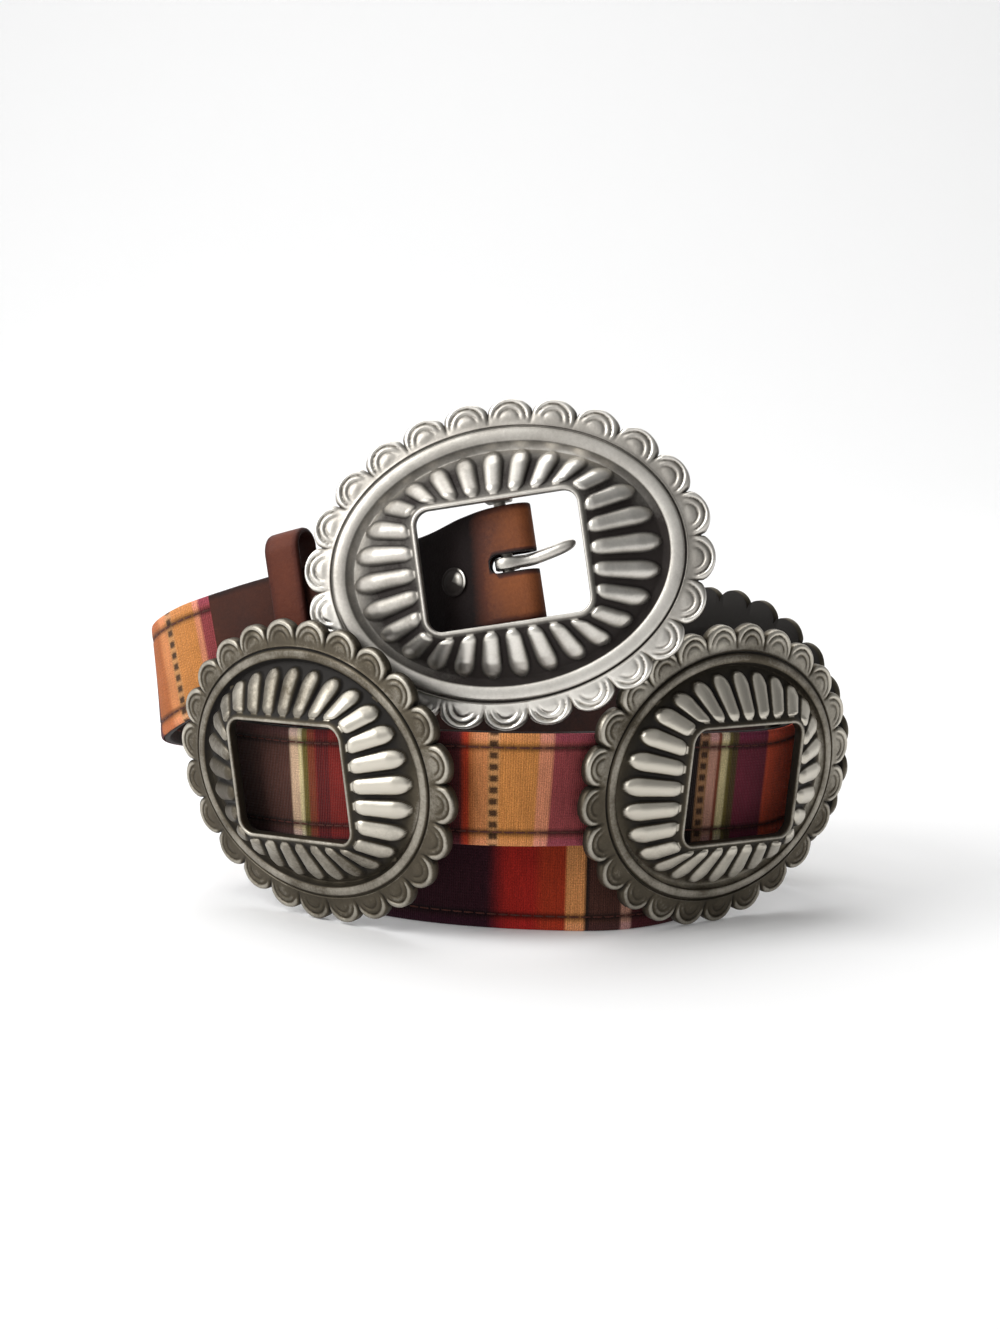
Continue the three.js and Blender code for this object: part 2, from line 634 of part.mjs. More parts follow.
addPiece('strap_leather', layer(STRAP_START, STRAP_END, LEATHER_LOW, LEATHER_HIGH), brownLeather);
addPiece('strap_serape', layer(STRAP_START, STRAP_END, SERAPE_LOW, SERAPE_HIGH), serape);
addPiece('buckle_tab', buckleTab(), brownLeather);
addPiece('keeper', keeperLoop(), tanLeather);
addPiece('snap_front', pressStud(STUD_CAP, STUD_CLEARANCE.cap, 1), buckleSilver);
addPiece('snap_back', pressStud(STUD_BASE, STUD_CLEARANCE.base, -1), buckleSilver);
addPiece('tip_leather', leatherTip(), brownLeather);
addOnPlate(PLATES.buckle, [
  ['buckle_plate', buckleGeometry(), buckleSilver],
  ['buckle_prong', buckleProng(), buckleSilver],
]);
addOnPlate(PLATES.left, [['concho_left', conchoGeometry(), conchoSilver]]);
addOnPlate(PLATES.right, [['concho_right', conchoGeometry(), conchoSilver]]);
addOnPlate(PLATES.rear, [['concho_rear', conchoGeometry(), conchoSilver]]);

export default belt;
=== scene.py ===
"""Western concho belt, coiled and standing on the edges of its plates."""
import itertools
import math

import bpy
import numpy as np
from mathutils import Matrix, Vector


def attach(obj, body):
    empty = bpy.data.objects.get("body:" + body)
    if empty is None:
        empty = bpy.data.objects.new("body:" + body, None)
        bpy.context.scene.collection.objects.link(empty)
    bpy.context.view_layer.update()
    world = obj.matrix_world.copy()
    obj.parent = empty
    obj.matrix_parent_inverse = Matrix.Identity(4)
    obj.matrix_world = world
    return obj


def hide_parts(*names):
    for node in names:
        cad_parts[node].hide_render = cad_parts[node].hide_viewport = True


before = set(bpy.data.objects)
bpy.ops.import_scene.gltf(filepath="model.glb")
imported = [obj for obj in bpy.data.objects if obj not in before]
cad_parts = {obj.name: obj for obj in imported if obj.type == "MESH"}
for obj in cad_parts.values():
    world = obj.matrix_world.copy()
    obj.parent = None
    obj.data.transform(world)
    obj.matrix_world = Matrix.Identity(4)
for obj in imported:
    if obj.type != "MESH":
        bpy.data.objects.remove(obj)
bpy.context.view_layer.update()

MM = 0.001

# The belt's sizes, in millimetres. The strap's layers go from and to these distances off its middle
# surface; places along it are lengths from the buckle, and places across it heights over its middle
STRAP_WIDTH = 40.0
LEATHER = (-1.7, 0.5)
SERAPE = (0.8, 1.7)
STRAP_START = 84.0
SEAM_AT = 15.0
STITCH = {"pitch": 4.1, "length": 3.75, "radius": 0.36}
DOT_PITCH = 4.1
TIP_LENGTH = 62.0
TIP_THICKNESS = 3.4
TIP_HOLE_PITCH = 20.0
TIP_HOLE_RADIUS = 2.25
PART_GAP = 0.3
TAB_THICKNESS = 2.0
TAB_WIDTH = 40.0
BAR_FROM_START = 14.0
FOLD_FROM_BAR = 5.6
FOLD_SPREAD = 4.1
TAB_CLOSED = 1.2
TAB_OVER_STRAP = 3.55
TAB_OUTER_END = 137.5
TAB_INNER_END = 82.0
SLOT_WIDTH = 6.4
SLOT_REACH = 6.0
KEEPER_AT = 103.5
KEEPER_WIDTH = 14.0
KEEPER_WALL = 2.0
KEEPER_INNER = {"front": 6.4, "back": -3.6, "bottom": -22.3, "top": 32.0}
KEEPER_CORNER = 2.0
SCALLOPS = 24
SCALLOP_DEPTH = 5.0
PETALS = 28
RIM = 2.6
DOME = 15.6
LIP_REACH = 2.6
LIP_FOOT = DOME - 1.6
FIELD_FLOOR = RIM + 0.6
WALL = 2.4
WINDOW_CORNER = 5.0
RIM_INSET = 10.3
BACK_INSET = 15.0
LOOP = {"offset": 33.0, "width": 5.0, "half": 29.5, "thick": 2.0, "top": -4.7, "post": 3.4}
LOOP_POST_TOP = 3.6
BAR = {"radius": 2.1, "height": 3.0, "half": 24.1, "post_width": 9.0, "post_depth": 3.0}
STUD_FROM_BAR = 19.0
# Insets from the oval through the scallops' peaks: where scallops start, their arcs' centres and the
# rim of the back
SCALLOP_FOOT = 9.2
ARC_CENTRE = 7.2
BACK_RIM = 8.0
# Half sizes of the oval through the scallops' peaks (a, b) and of the window (wa, wb); insets of ring
# and field; half a petal's width in pitches, the share of the field where petals end and how soft
# their flanks are; how crisp the scallops' arcs are, how polished the ring is, and the polish "lift"
# adds to the ring where the plate's painted shade lies: painted highlight if positive, more painted shade if
# negative
CONCHO = {
    "a": 64.4, "b": 54.6, "wa": 26.1, "wb": 20.5, "ring": 13.5, "field": 15.0,
    "petal": 0.43, "reach": 0.92, "flank": 0.75, "crisp": 0.6, "band": 0.68, "lift": -0.05,
}
BUCKLE = {
    "a": 71.4, "b": 56.8, "wa": 28.1, "wb": 20.9, "ring": 15.0, "field": 17.7,
    "petal": 0.4, "reach": 0.995, "flank": 1.05, "crisp": 0.85, "band": 0.66, "lift": 0.16,
}
# Where a petal's root ends and its tip begins, as shares of the field from the lip to the ring's foot;
# shares that get a row; crest's height over the field and how polished the field is, by that share
PETAL_ROOT = 0.16
PETAL_TIP = 0.64
PETAL_SHARES = (*np.linspace(0, 0.12, 6), *np.linspace(0.16, 0.76, 17), *np.linspace(0.79, 1, 12))
PETAL_CREST = ((0, 0.06, PETAL_ROOT, 0.68, 0.88, 0.96, 1), (0.3, 1.3, 2.2, 3.1, 2.5, 1.4, 0))
FIELD_POLISH = ((0, 0.1, 0.4, 0.75, 0.9, 1), (0.3, 0.2, 0.12, 0.2, 0.55, 0.74))
# Rows of (place, height, polish): over the lip by distance from the window, over the ring by share
# of its width, and through the cut line by inset
LIP_PROFILE = (
    (0, -1.1, 0.35), (0.05, -0.5, 0.6), (0.25, -0.12, 0.7), (0.6, 0, 0.75), (1, -0.05, 0.7),
    (1.4, -0.3, 0.5), (1.8, -0.8, 0.3))
RING_PROFILE = (
    (0, 2.36, 0.5), (0.1, 2.5, 0.92), (0.35, 2.6, 1), (0.6, 2.55, 1), (0.85, 2.36, 1), (1, 2.1, 0.8))
CUT_LINE = (
    (10.1, 1.6, 0.35), (9.95, 1.25, 0), (9.65, 1.25, 0), (9.45, 1.65, 0.4), (SCALLOP_FOOT, 1.8, 0.6))
PLATES = {
    "buckle": {"at": (2.3, -15, 129.3), "turn": -9.4, "lean": -10.9, "roll": 11.0},
    "left": {"at": (-62.5, -5, 54.6), "turn": -39.4, "lean": 8.2, "roll": 3.1},
    "right": {"at": (76.4, 7.2, 54.6), "turn": 40.2, "lean": 5.6, "roll": -1.5},
    "rear": {"at": (83.7, 103.7, 54.8), "turn": 133, "lean": -0.2, "roll": -0.8},
}
# Painted shading round a plate, as pairs of a place (share of a turn from the right end) and an amount:
# "dark" is where the recess gets its deepest painted shade; the others say where petals, cove and rim
# lose polish to painted shade, and a negative amount gives them a painted highlight
PAINTED_SHADING = {
    "buckle": {
        "dark": (0.86, 1.0), "petals": ((0.42, 0.36), (0.92, 0.2)),
        "cove": ((0.42, 0.35), (0.75, 0.35)), "rim": ((0.7, -0.5), (0.1, 0.05)),
    },
    "left": {
        "dark": (0.26, 1.0), "petals": ((0.36, 0.33), (0.72, 0.33)),
        "cove": ((0.5, 0.3), (0.75, 0.35)), "rim": ((0.4, 0.06), (0.75, 0.14)),
    },
    "right": {
        "dark": (0.32, 0.5), "petals": ((0.75, 0.12),), "rim": ((0.2, -0.2), (0.75, 0.1)),
    },
    "rear": {"dark": (0.25, 1.0)},
}
# Middle of the coil in the working frame, which becomes the part's origin
COIL_CENTRE = Vector((-0.2, 51.8, 0))


def plate_matrix(name):
    """Plate frame to the coil's working frame, millimetres."""
    plate = PLATES[name]
    return (
        Matrix.Translation(plate["at"])
        @ Matrix.Rotation(math.radians(plate["turn"]), 4, "Z")
        @ Matrix.Rotation(math.radians(90 + plate["lean"]), 4, "X")
        @ Matrix.Rotation(math.radians(plate["roll"]), 4, "Z")
    )


def on_plate(name, u, v, n):
    return plate_matrix(name) @ Vector((u, v, n))


# Way of the strap: place, lean (top edge outwards), sway (along its way), degrees
STATIONS = [
    (on_plate("buckle", 14, -0.2, 3), -11, 10.9),
    (on_plate("buckle", 0, -0.4, 3), -11, 10.9),
    (on_plate("buckle", -15, -1.75, 0.2), -10, 11),
    (on_plate("buckle", -31, -5.15, -8), -8, 12),
    ((-59.5, 19, 105.2), -2, 11),
    ((-88.7, 33, 95.1), 2, 10),
    ((-112.5, 46, 84.9), 5, 11),
    ((-125.2, 66, 74), 6, 12),
    ((-120, 93, 65.8), 5, 11),
    ((-98.9, 118, 61.4), 3, 8),
    ((-62.3, 138, 59.3), 2, 5),
    ((-22.6, 148, 57.5), 1, 3),
    ((17, 147, 56), 0, 1),
    (on_plate("rear", 33, -1, -1.5), 0, 0),
    (on_plate("rear", 0, -1, 1.2), 0, 0),
    (on_plate("rear", -33, -1, -1.5), 0, 0),
    ((114.5, 52, 53), 2, 0),
    (on_plate("right", 33, -5.3, -1.5), 5.5, 0),
    (on_plate("right", 0, -4.7, 1.2), 5.5, 0),
    (on_plate("right", -33, -3.2, -1.5), 5.5, 0),
    ((6.1, -37, 55.2), 7, 0),
    (on_plate("left", 33, -3, -1.5), 8, -3),
    (on_plate("left", 0, -4.5, 1.2), 8, -3),
    (on_plate("left", -33, -5.3, -1.5), 8, -3),
    ((-101.7, 40, 46.3), 5, 2),
    ((-95.9, 64, 44.5), 3, 4),
    ((-73.2, 79, 41.3), 0, 6),
    ((-40.3, 85, 37.3), 0, 7),
    ((-1.9, 86, 32.1), 0, 7),
    ((36.5, 80, 26.6), 0, 6),
    ((63.8, 62, 22.7), 0, 2),
    ((72, 38, 20.2), 0, 0),
    ((63, 12, 20.2), 0, 0),
    ((42, -5, 20.2), 0, 0),
    ((14, -7.5, 20.2), 0, 0),
    ((-18, -1, 20.2), 0, 0),
    ((-41.4, 12, 20.2), 0, 0),
    ((-58.7, 32, 20.2), 0, 0),
    ((-62, 55, 20.2), 0, 0),
    ((-55, 72, 20.2), 0, 0),
]


def smoothstep(x, low, high):
    x = np.clip((x - low) / (high - low), 0, 1)
    return x * x * (3 - 2 * x)


def unit(rows):
    return rows / np.linalg.norm(rows, axis=-1, keepdims=True)


def run_along(line):
    """Length run from a line's first point to each of its points."""
    return np.concatenate([[0.0], np.cumsum(np.linalg.norm(np.diff(line, axis=0), axis=1))])


class Route:
    """The strap's centre line as one smooth curve, measured by length from the buckle."""

    def __init__(self, stations):
        places = np.array([tuple(place) for place, _, _ in stations], float)
        self.angles = np.radians([angles for _, *angles in stations])
        self.count = len(places)
        self.padded = np.vstack([2 * places[0] - places[1], places, 2 * places[-1] - places[-2]])
        self.steps = np.linspace(0, self.count - 1, 12001)
        line = self.at(self.steps)
        self.lengths = run_along(line)
        self.length = float(self.lengths[-1])
        self.tangents = unit(np.gradient(line, self.steps, axis=0))

    def at(self, place):
        low = np.minimum(np.floor(place).astype(int), self.count - 2)
        w = (place - low)[:, None]
        p0, p1, p2, p3 = (self.padded[low + k] for k in range(4))

        def chord(a, b):
            return np.sqrt(np.linalg.norm(a - b, axis=1))[:, None]

        d0, d1, d2 = chord(p0, p1), chord(p1, p2), chord(p2, p3)
        t1 = ((p1 - p0) / d0 - (p2 - p0) / (d0 + d1) + (p2 - p1) / d1) * d1
        t2 = ((p2 - p1) / d1 - (p3 - p1) / (d1 + d2) + (p3 - p2) / d2) * d1
        return p1 + t1 * w + (3 * (p2 - p1) - 2 * t1 - t2) * w**2 + (2 * (p1 - p2) + t1 + t2) * w**3

    def frame(self, length):
        """Place, off-the-face and upward directions of the strap at lengths from the buckle."""
        place = np.interp(length, self.lengths, self.steps)
        tangent = unit(np.stack([np.interp(place, self.steps, self.tangents[:, k]) for k in range(3)], 1))
        ahead = unit(tangent * np.array([1.0, 1.0, 0.0]))
        outward = np.stack([-ahead[:, 1], ahead[:, 0], 0 * place], 1)
        low = np.minimum(np.floor(place).astype(int), self.count - 2)
        share = smoothstep(place - low, 0, 1)[:, None]
        lean, sway = (self.angles[low] + (self.angles[low + 1] - self.angles[low]) * share).T
        upward = ahead * np.sin(sway)[:, None] + outward * (np.cos(sway) * np.sin(lean))[:, None]
        upward[:, 2] += np.cos(sway) * np.cos(lean)
        upward = unit(upward)
        return self.at(place), unit(np.cross(upward, tangent)), upward


ROUTE = Route(STATIONS)
STRAP_END = ROUTE.length - TIP_LENGTH


def on_strap(length, out, up):
    """Points out off the strap's middle surface and up from its centre line, part frame, mm."""
    length, out, up = np.broadcast_arrays(*(np.asarray(x, float) for x in (length, out, up)))
    shape = length.shape
    place, normal, upward = ROUTE.frame(np.clip(length.ravel(), 0, ROUTE.length))
    points = place + normal * out.ravel()[:, None] + upward * up.ravel()[:, None]
    return (points - np.array(COIL_CENTRE)).reshape(shape + (3,))


def new_object(name, data):
    thing = bpy.data.objects.new(name, data)
    bpy.context.scene.collection.objects.link(thing)
    return thing


def new_mesh(name, points, faces, smooth=60):
    """An object from points in millimetres in the part's frame."""
    mesh = bpy.data.meshes.new(name)
    mesh.from_pydata((np.asarray(points, float) * MM).tolist(), [], faces)
    mesh.validate()
    mesh.update()
    thing = new_object(name, mesh)
    mesh.shade_smooth()
    mesh.set_sharp_from_angle(angle=math.radians(smooth))
    return thing


def ring_faces(number, closed, flip):
    """Faces of a skin through rings of point numbers; the last joins the first, or ends are capped."""
    after = np.roll(number, -1, axis=0)
    quads = np.stack([number, np.roll(number, -1, axis=1), np.roll(after, -1, axis=1), after], -1)
    if closed:
        faces = quads.reshape(-1, 4).tolist()
    else:
        faces = quads[:-1].reshape(-1, 4).tolist() + [number[0, ::-1].tolist(), number[-1].tolist()]
    return [face[::-1] for face in faces] if flip else faces


def rings_mesh(name, rings, closed=True, smooth=60, flip=False):
    """A skin through rings of equal counts of points."""
    rings = np.asarray(rings, float)
    number = np.arange(rings.size // 3).reshape(rings.shape[:2])
    return new_mesh(name, rings.reshape(-1, 3), ring_faces(number, closed, flip), smooth)


def point_values(thing, name, values, kind="FLOAT"):
    layer = thing.data.attributes.new(name, kind, "POINT")
    field = {"FLOAT": "value", "FLOAT_VECTOR": "vector", "FLOAT_COLOR": "color"}[kind]
    layer.data.foreach_set(field, np.asarray(values, np.float32).ravel())


def even_relief(thing, polish):
    point_values(thing, "relief", np.full(len(thing.data.vertices), polish))


def linear(red, green, blue):
    """An 8-bit display colour as a linear one."""
    return tuple(
        ((c / 255 + 0.055) / 1.055) ** 2.4 if c > 10 else c / 255 / 12.92
        for c in (red, green, blue)
    )


class Shader:
    """Short way to wire a material or a world."""

    def __init__(self, owner):
        owner.use_nodes = True
        self.owner = owner
        self.tree = owner.node_tree
        self.tree.nodes.clear()

    def add(self, kind, inputs=None, **settings):
        """A new node; its inputs are set to values or linked to other nodes' outputs."""
        node = self.tree.nodes.new("ShaderNode" + kind)
        for key, value in settings.items():
            setattr(node, key, value)
        for key, value in (inputs or {}).items():
            if isinstance(value, bpy.types.NodeSocket):
                self.tree.links.new(value, node.inputs[key])
            else:
                node.inputs[key].default_value = value
        return node

    def place(self):
        return self.add("TexCoord").outputs["Object"]

    def stretched(self, vector, scale):
        return self.add("Mapping", {"Vector": vector, "Scale": scale}).outputs["Vector"]

    def attribute(self, name, output="Fac"):
        return self.add("Attribute", attribute_name=name).outputs[output]

    def math(self, operation, first, second=0.0, clamp=False):
        return self.add("Math", {0: first, 1: second}, operation=operation, use_clamp=clamp).outputs[0]

    def times(self, first, second):
        return self.math("MULTIPLY", first, second)

    def vary(self, value, noise, amount, clamp=False):
        """A value moved up and down by a noise."""
        swing = self.times(self.math("SUBTRACT", noise, 0.5), amount)
        return self.math("ADD", value, swing, clamp)

    def mix(self, factor, first, second, blend="MULTIPLY"):
        inputs = {0: factor, 6: first, 7: second}
        return self.add("Mix", inputs, data_type="RGBA", blend_type=blend).outputs[2]

    def ramp(self, factor, stops):
        node = self.add("ValToRGB", {"Fac": factor})
        elements = node.color_ramp.elements
        while len(elements) < len(stops):
            elements.new(0.5)
        for element, (position, colour) in zip(elements, stops):
            element.position = position
            element.color = (*colour, 1)
        return node.outputs["Color"]

    def grey(self, factor, stops):
        return self.ramp(factor, [(position, (value,) * 3) for position, value in stops])

    def noise(self, vector, scale, detail, roughness):
        inputs = {"Vector": vector, "Scale": scale, "Detail": detail, "Roughness": roughness}
        return self.add("TexNoise", inputs).outputs["Fac"]

    def bump(self, height, strength, distance, **more):
        inputs = {"Height": height, "Strength": strength, "Distance": distance, **more}
        return self.add("Bump", inputs).outputs["Normal"]

    def finish(self, inputs):
        surface = self.add("BsdfPrincipled", inputs).outputs[0]
        self.add("OutputMaterial", {"Surface": surface})
        return self.owner


def new_look(name):
    return Shader(bpy.data.materials.new(name + "_look"))


def silver(name, bright, dull, oxide, shine):
    """Cast metal: polished high places, dull slopes, oxidised recesses, fine scratches."""
    s = new_look(name)
    place = s.place()
    relief = s.attribute("relief")
    patches = s.noise(place, 55, 5, 0.6)
    grain = s.noise(place, 900, 3, 0.7)
    # relief brings real polish and oxide, and on the plates and the stud's cap also painted shade and
    # painted highlights
    polish_tone = s.vary(s.vary(relief, patches, 0.45), grain, 0.16, clamp=True)
    slope = tuple(0.45 * d for d in dull)
    colour = s.ramp(polish_tone, [(0.08, oxide), (0.34, slope), (0.58, dull), (0.9, bright)])
    rough = s.grey(polish_tone, [(0.1, 0.72), (0.5, shine + 0.16), (0.9, shine)])
    metal = s.grey(polish_tone, [(0.05, 0.35), (0.4, 1.0)])
    scratches = s.noise(s.stretched(place, (60, 60, 900)), 6, 2, 0.6)
    height = s.math("ADD", s.times(grain, 0.7), s.times(scratches, 0.25))
    normal = s.bump(s.math("ADD", height, s.times(patches, 1.6)), 0.35, 0.00025)
    return s.finish({"Base Color": colour, "Metallic": metal, "Roughness": rough, "Normal": normal})


def leather(name, dark, mid, light, shine):
    """Finished leather: fine pebble grain, lighter at folds, darker burnished edges; relief also brings
    painted shade.
    """
    s = new_look(name)
    place = s.place()
    # relief: polish and burnished edges, plus painted shadow on the tab and painted shade on the strap's
    # backing
    wear_and_painted_shading = s.attribute("relief")
    cells = s.add("TexVoronoi", {"Vector": place, "Scale": 1300.0}).outputs["Distance"]
    grain = s.noise(place, 800, 4, 0.6)
    clouds = s.noise(place, 38, 5, 0.65)
    tone = s.vary(s.vary(wear_and_painted_shading, clouds, 0.5), grain, 0.2, clamp=True)
    colour = s.ramp(tone, [(0.05, dark), (0.5, mid), (0.95, light)])
    rough = s.grey(clouds, [(0.3, shine - 0.06), (0.7, shine + 0.12)])
    normal = s.bump(s.math("ADD", s.times(cells, 1.2), grain), 0.35, 0.00022)
    normal = s.bump(clouds, 0.25, 0.0012, Normal=normal)
    return s.finish({
        "Base Color": colour, "Roughness": rough, "Normal": normal, "Specular IOR Level": 0.2,
    })


def woven(name):
    """Flat woven wool: ribs across the strap, heathered yarn, small dark squares, pressed seams painted dark
    in their grooves as painted shade, and hems with a painted highlight.
    """
    s = new_look(name)
    strap = s.attribute("strap", "Vector")

    def ribs(direction, scale, distortion):
        inputs = {"Vector": strap, "Scale": scale, "Distortion": distortion}
        inputs.update({"Detail": 2.0, "Detail Scale": 2.0})
        return s.add("TexWave", inputs, bands_direction=direction).outputs["Fac"]

    yarn = s.noise(s.stretched(strap, (1.0, 0.09, 1.0)), 1.1, 4, 0.5)
    heather = s.noise(s.stretched(strap, (1.4, 1.4, 1.0)), 1.6, 5, 0.5)
    soft = s.noise(s.stretched(strap, (0.05, 0.05, 1.0)), 1.0, 3, 0.5)
    weft = ribs("X", 0.39, 0.9)
    warp = ribs("Y", 0.3, 0.5)
    up = s.add("SeparateXYZ", {"Vector": strap}).outputs["Y"]
    # dark squares: near the middle of the dotted stripe and near every multiple of the pitch across it
    along = s.vary(s.math("ABSOLUTE", s.attribute("from_dots")), heather, 1.1)
    upright = s.vary(s.math("PINGPONG", up, DOT_PITCH / 2), heather, 0.55)
    square = s.times(
        s.grey(s.times(along, 0.25), [(0.24, 1.0), (0.48, 0.0)]),
        s.grey(s.times(upright, 0.25), [(0.18, 1.0), (0.4, 0.0)]),
    )
    dark = (*linear(44, 24, 14), 1)
    colour = s.mix(s.times(square, 0.9), s.attribute("dye", "Color"), dark, "MIX")
    for amount, source, stops in (
        (0.7, yarn, [(0.3, 0.74), (0.7, 1.14)]),
        (0.75, heather, [(0.35, 0.55), (0.65, 1.32)]),
        (0.35, weft, [(0.0, 0.6), (0.6, 1.1)]),
        (0.45, soft, [(0.35, 0.78), (0.65, 1.12)]),
    ):
        colour = s.mix(amount, colour, s.grey(source, stops))
    # beyond the seam the hem's fold is painted paler, a painted highlight, and the seam's groove is painted
    # dark, painted shade
    seam = s.math("SUBTRACT", s.math("ABSOLUTE", up), SEAM_AT)
    fold = s.grey(s.times(seam, 0.2), [(0.3, 0.0), (0.62, 1.0)])
    colour = s.mix(fold, colour, (1.24, 1.26, 1.6, 1))
    pressed = s.grey(s.math("ABSOLUTE", s.times(seam, 0.5)), [(0.2, 0.2), (0.88, 1.0)])
    colour = s.mix(0.85, colour, pressed)
    height = s.math("ADD", weft, s.times(warp, 0.5))
    height = s.math("ADD", height, s.times(heather, 0.8))
    normal = s.bump(height, 0.6, 0.00028)
    return s.finish({
        "Base Color": colour, "Roughness": 0.92, "Normal": normal,
        "Specular IOR Level": 0.15, "Sheen Weight": 0.08, "Sheen Roughness": 0.5,
    })


def thread(name, colour):
    """Sewing thread with fine fibres."""
    s = new_look(name)
    place = s.place()
    fibre = s.noise(place, 2600, 3, 0.7)
    tone = s.mix(0.7, (*colour, 1), s.grey(fibre, [(0.3, 0.55), (0.7, 1.4)]))
    return s.finish({"Base Color": tone, "Roughness": 0.75, "Normal": s.bump(fibre, 0.5, 0.0002)})


BUCKLE_SILVER = silver(
    "buckle_silver", linear(232, 228, 220), linear(170, 165, 157), linear(40, 33, 30), 0.32)
CONCHO_SILVER = silver(
    "concho_silver", linear(206, 200, 187), linear(90, 83, 71), linear(26, 22, 18), 0.38)
BROWN_LEATHER = leather(
    "brown_leather", linear(24, 14, 13), linear(76, 40, 28), linear(146, 84, 46), 0.62)
TAN_LEATHER = leather(
    "tan_leather", linear(38, 15, 9), linear(74, 31, 19), linear(112, 58, 38), 0.5)
SERAPE_CLOTH = woven("serape_cloth")
BROWN_THREAD = thread("brown_thread", linear(74, 28, 16))


def oval(half_a, half_b, turns):
    """Points at equal lengths along an oval with those half sizes, from its right end."""
    angle = np.linspace(0, 2 * np.pi, 4097)
    run = run_along(np.stack([half_a * np.cos(angle), half_b * np.sin(angle)], -1))
    at = np.interp(turns % 1 * run[-1], run, angle)
    return np.stack([half_a * np.cos(at), half_b * np.sin(at)], -1)


def window(size, grow, turns):
    """Points at equal lengths along the rounded window, from the middle of its right side."""
    half_w, half_h, corner = size["wa"] + grow, size["wb"] + grow, WINDOW_CORNER + grow
    outline = [(half_w, 0.0)]
    for quarter, (sx, sy) in enumerate(((1, 1), (-1, 1), (-1, -1), (1, -1))):
        for a in math.pi / 2 * (quarter + np.linspace(0, 1, 25)):
            x = sx * (half_w - corner) + corner * math.cos(a)
            y = sy * (half_h - corner) + corner * math.sin(a)
            outline.append((x, y))
    outline.append((half_w, 0.0))
    run = run_along(outline)
    at = turns % 1 * run[-1]
    return np.stack([np.interp(at, run, values) for values in zip(*outline)], -1)


def bulge(x):
    """0 at 0 and 1, 1 half way, rounded."""
    return np.sqrt(np.clip(np.sin(np.pi * np.clip(x, 0, 1)), 0, 1))


def inset_oval(size, inset, turns):
    return oval(size["a"] - inset, size["b"] - inset, turns)


def polish_after_painted_shading(turns, places):
    """How much polish is left round a plate after painted shade at the given places; negative amounts add
    painted highlight.
    """
    left = np.ones(len(turns))
    for place, amount in places:
        left -= amount * smoothstep(np.cos(2 * np.pi * (turns - place)), -0.2, 0.8)
    return left


def petal_rows(size, turns, wear_and_painted_shading, row):
    """Rounded petals side by side on the sunk field, from under the lip to the ring's foot."""
    petal = np.abs((turns * PETALS + 0.5) % 1 - 0.5)
    inner = window(size, LIP_REACH, turns)
    outer = inset_oval(size, size["field"], turns)
    for share in PETAL_SHARES:
        tip = np.clip((share - PETAL_TIP) / (size["reach"] - PETAL_TIP), 0, 1)
        root = np.clip((PETAL_ROOT - share) / PETAL_ROOT, 0, 1)
        half = size["petal"] * math.sqrt((1 - tip**2.2) * (1 - 0.7 * root**2))
        inside = np.clip(1 - (petal / half) ** 2, 0, 1) if half > 0.01 else 0 * petal
        rounded = inside**0.5
        field = LIP_FOOT + (FIELD_FLOOR - LIP_FOOT) * share
        # the field and the petals lose polish to the plate's painted shade
        dark = np.interp(share, *FIELD_POLISH) * wear_and_painted_shading["cove"]
        flank = smoothstep(rounded, 0.15, size["flank"]) * wear_and_painted_shading["petals"]
        height = field + np.interp(share, *PETAL_CREST) * rounded
        row(inner + (outer - inner) * share, height, np.maximum(dark, flank))


def ring_rows(size, turns, wear_and_painted_shading, row):
    """A cove up from the field, a smooth raised band and a thin cut line."""
    field, ring = size["field"], size["ring"]
    for share in (0.15, 0.35, 0.55, 0.75, 0.9):
        height = FIELD_FLOOR + (RIM + 2.3 - FIELD_FLOOR) * share**1.5
        # the cove carries the plate's painted shade
        polish = (0.74 - 0.3 * share**6) * wear_and_painted_shading["cove"]
        row(inset_oval(size, field + (ring - field) * share, turns), height, polish)
    width = ring - RIM_INSET
    # the band gains "lift" of polish where the painted shade lies, a painted highlight on the buckle and
    # deeper painted shade on the conchos; the cut line is lighter where there is no painted shade
    for share, height, polish_tone in RING_PROFILE:
        polish = polish_tone * (size["band"] + size["lift"] * (1 - wear_and_painted_shading["clean"]))
        row(inset_oval(size, ring - width * share, turns), RIM + height, polish)
    for inset, height, polish in CUT_LINE:
        row(inset_oval(size, inset, turns), RIM + height, np.maximum(polish, 0.4 * wear_and_painted_shading["clean"]))


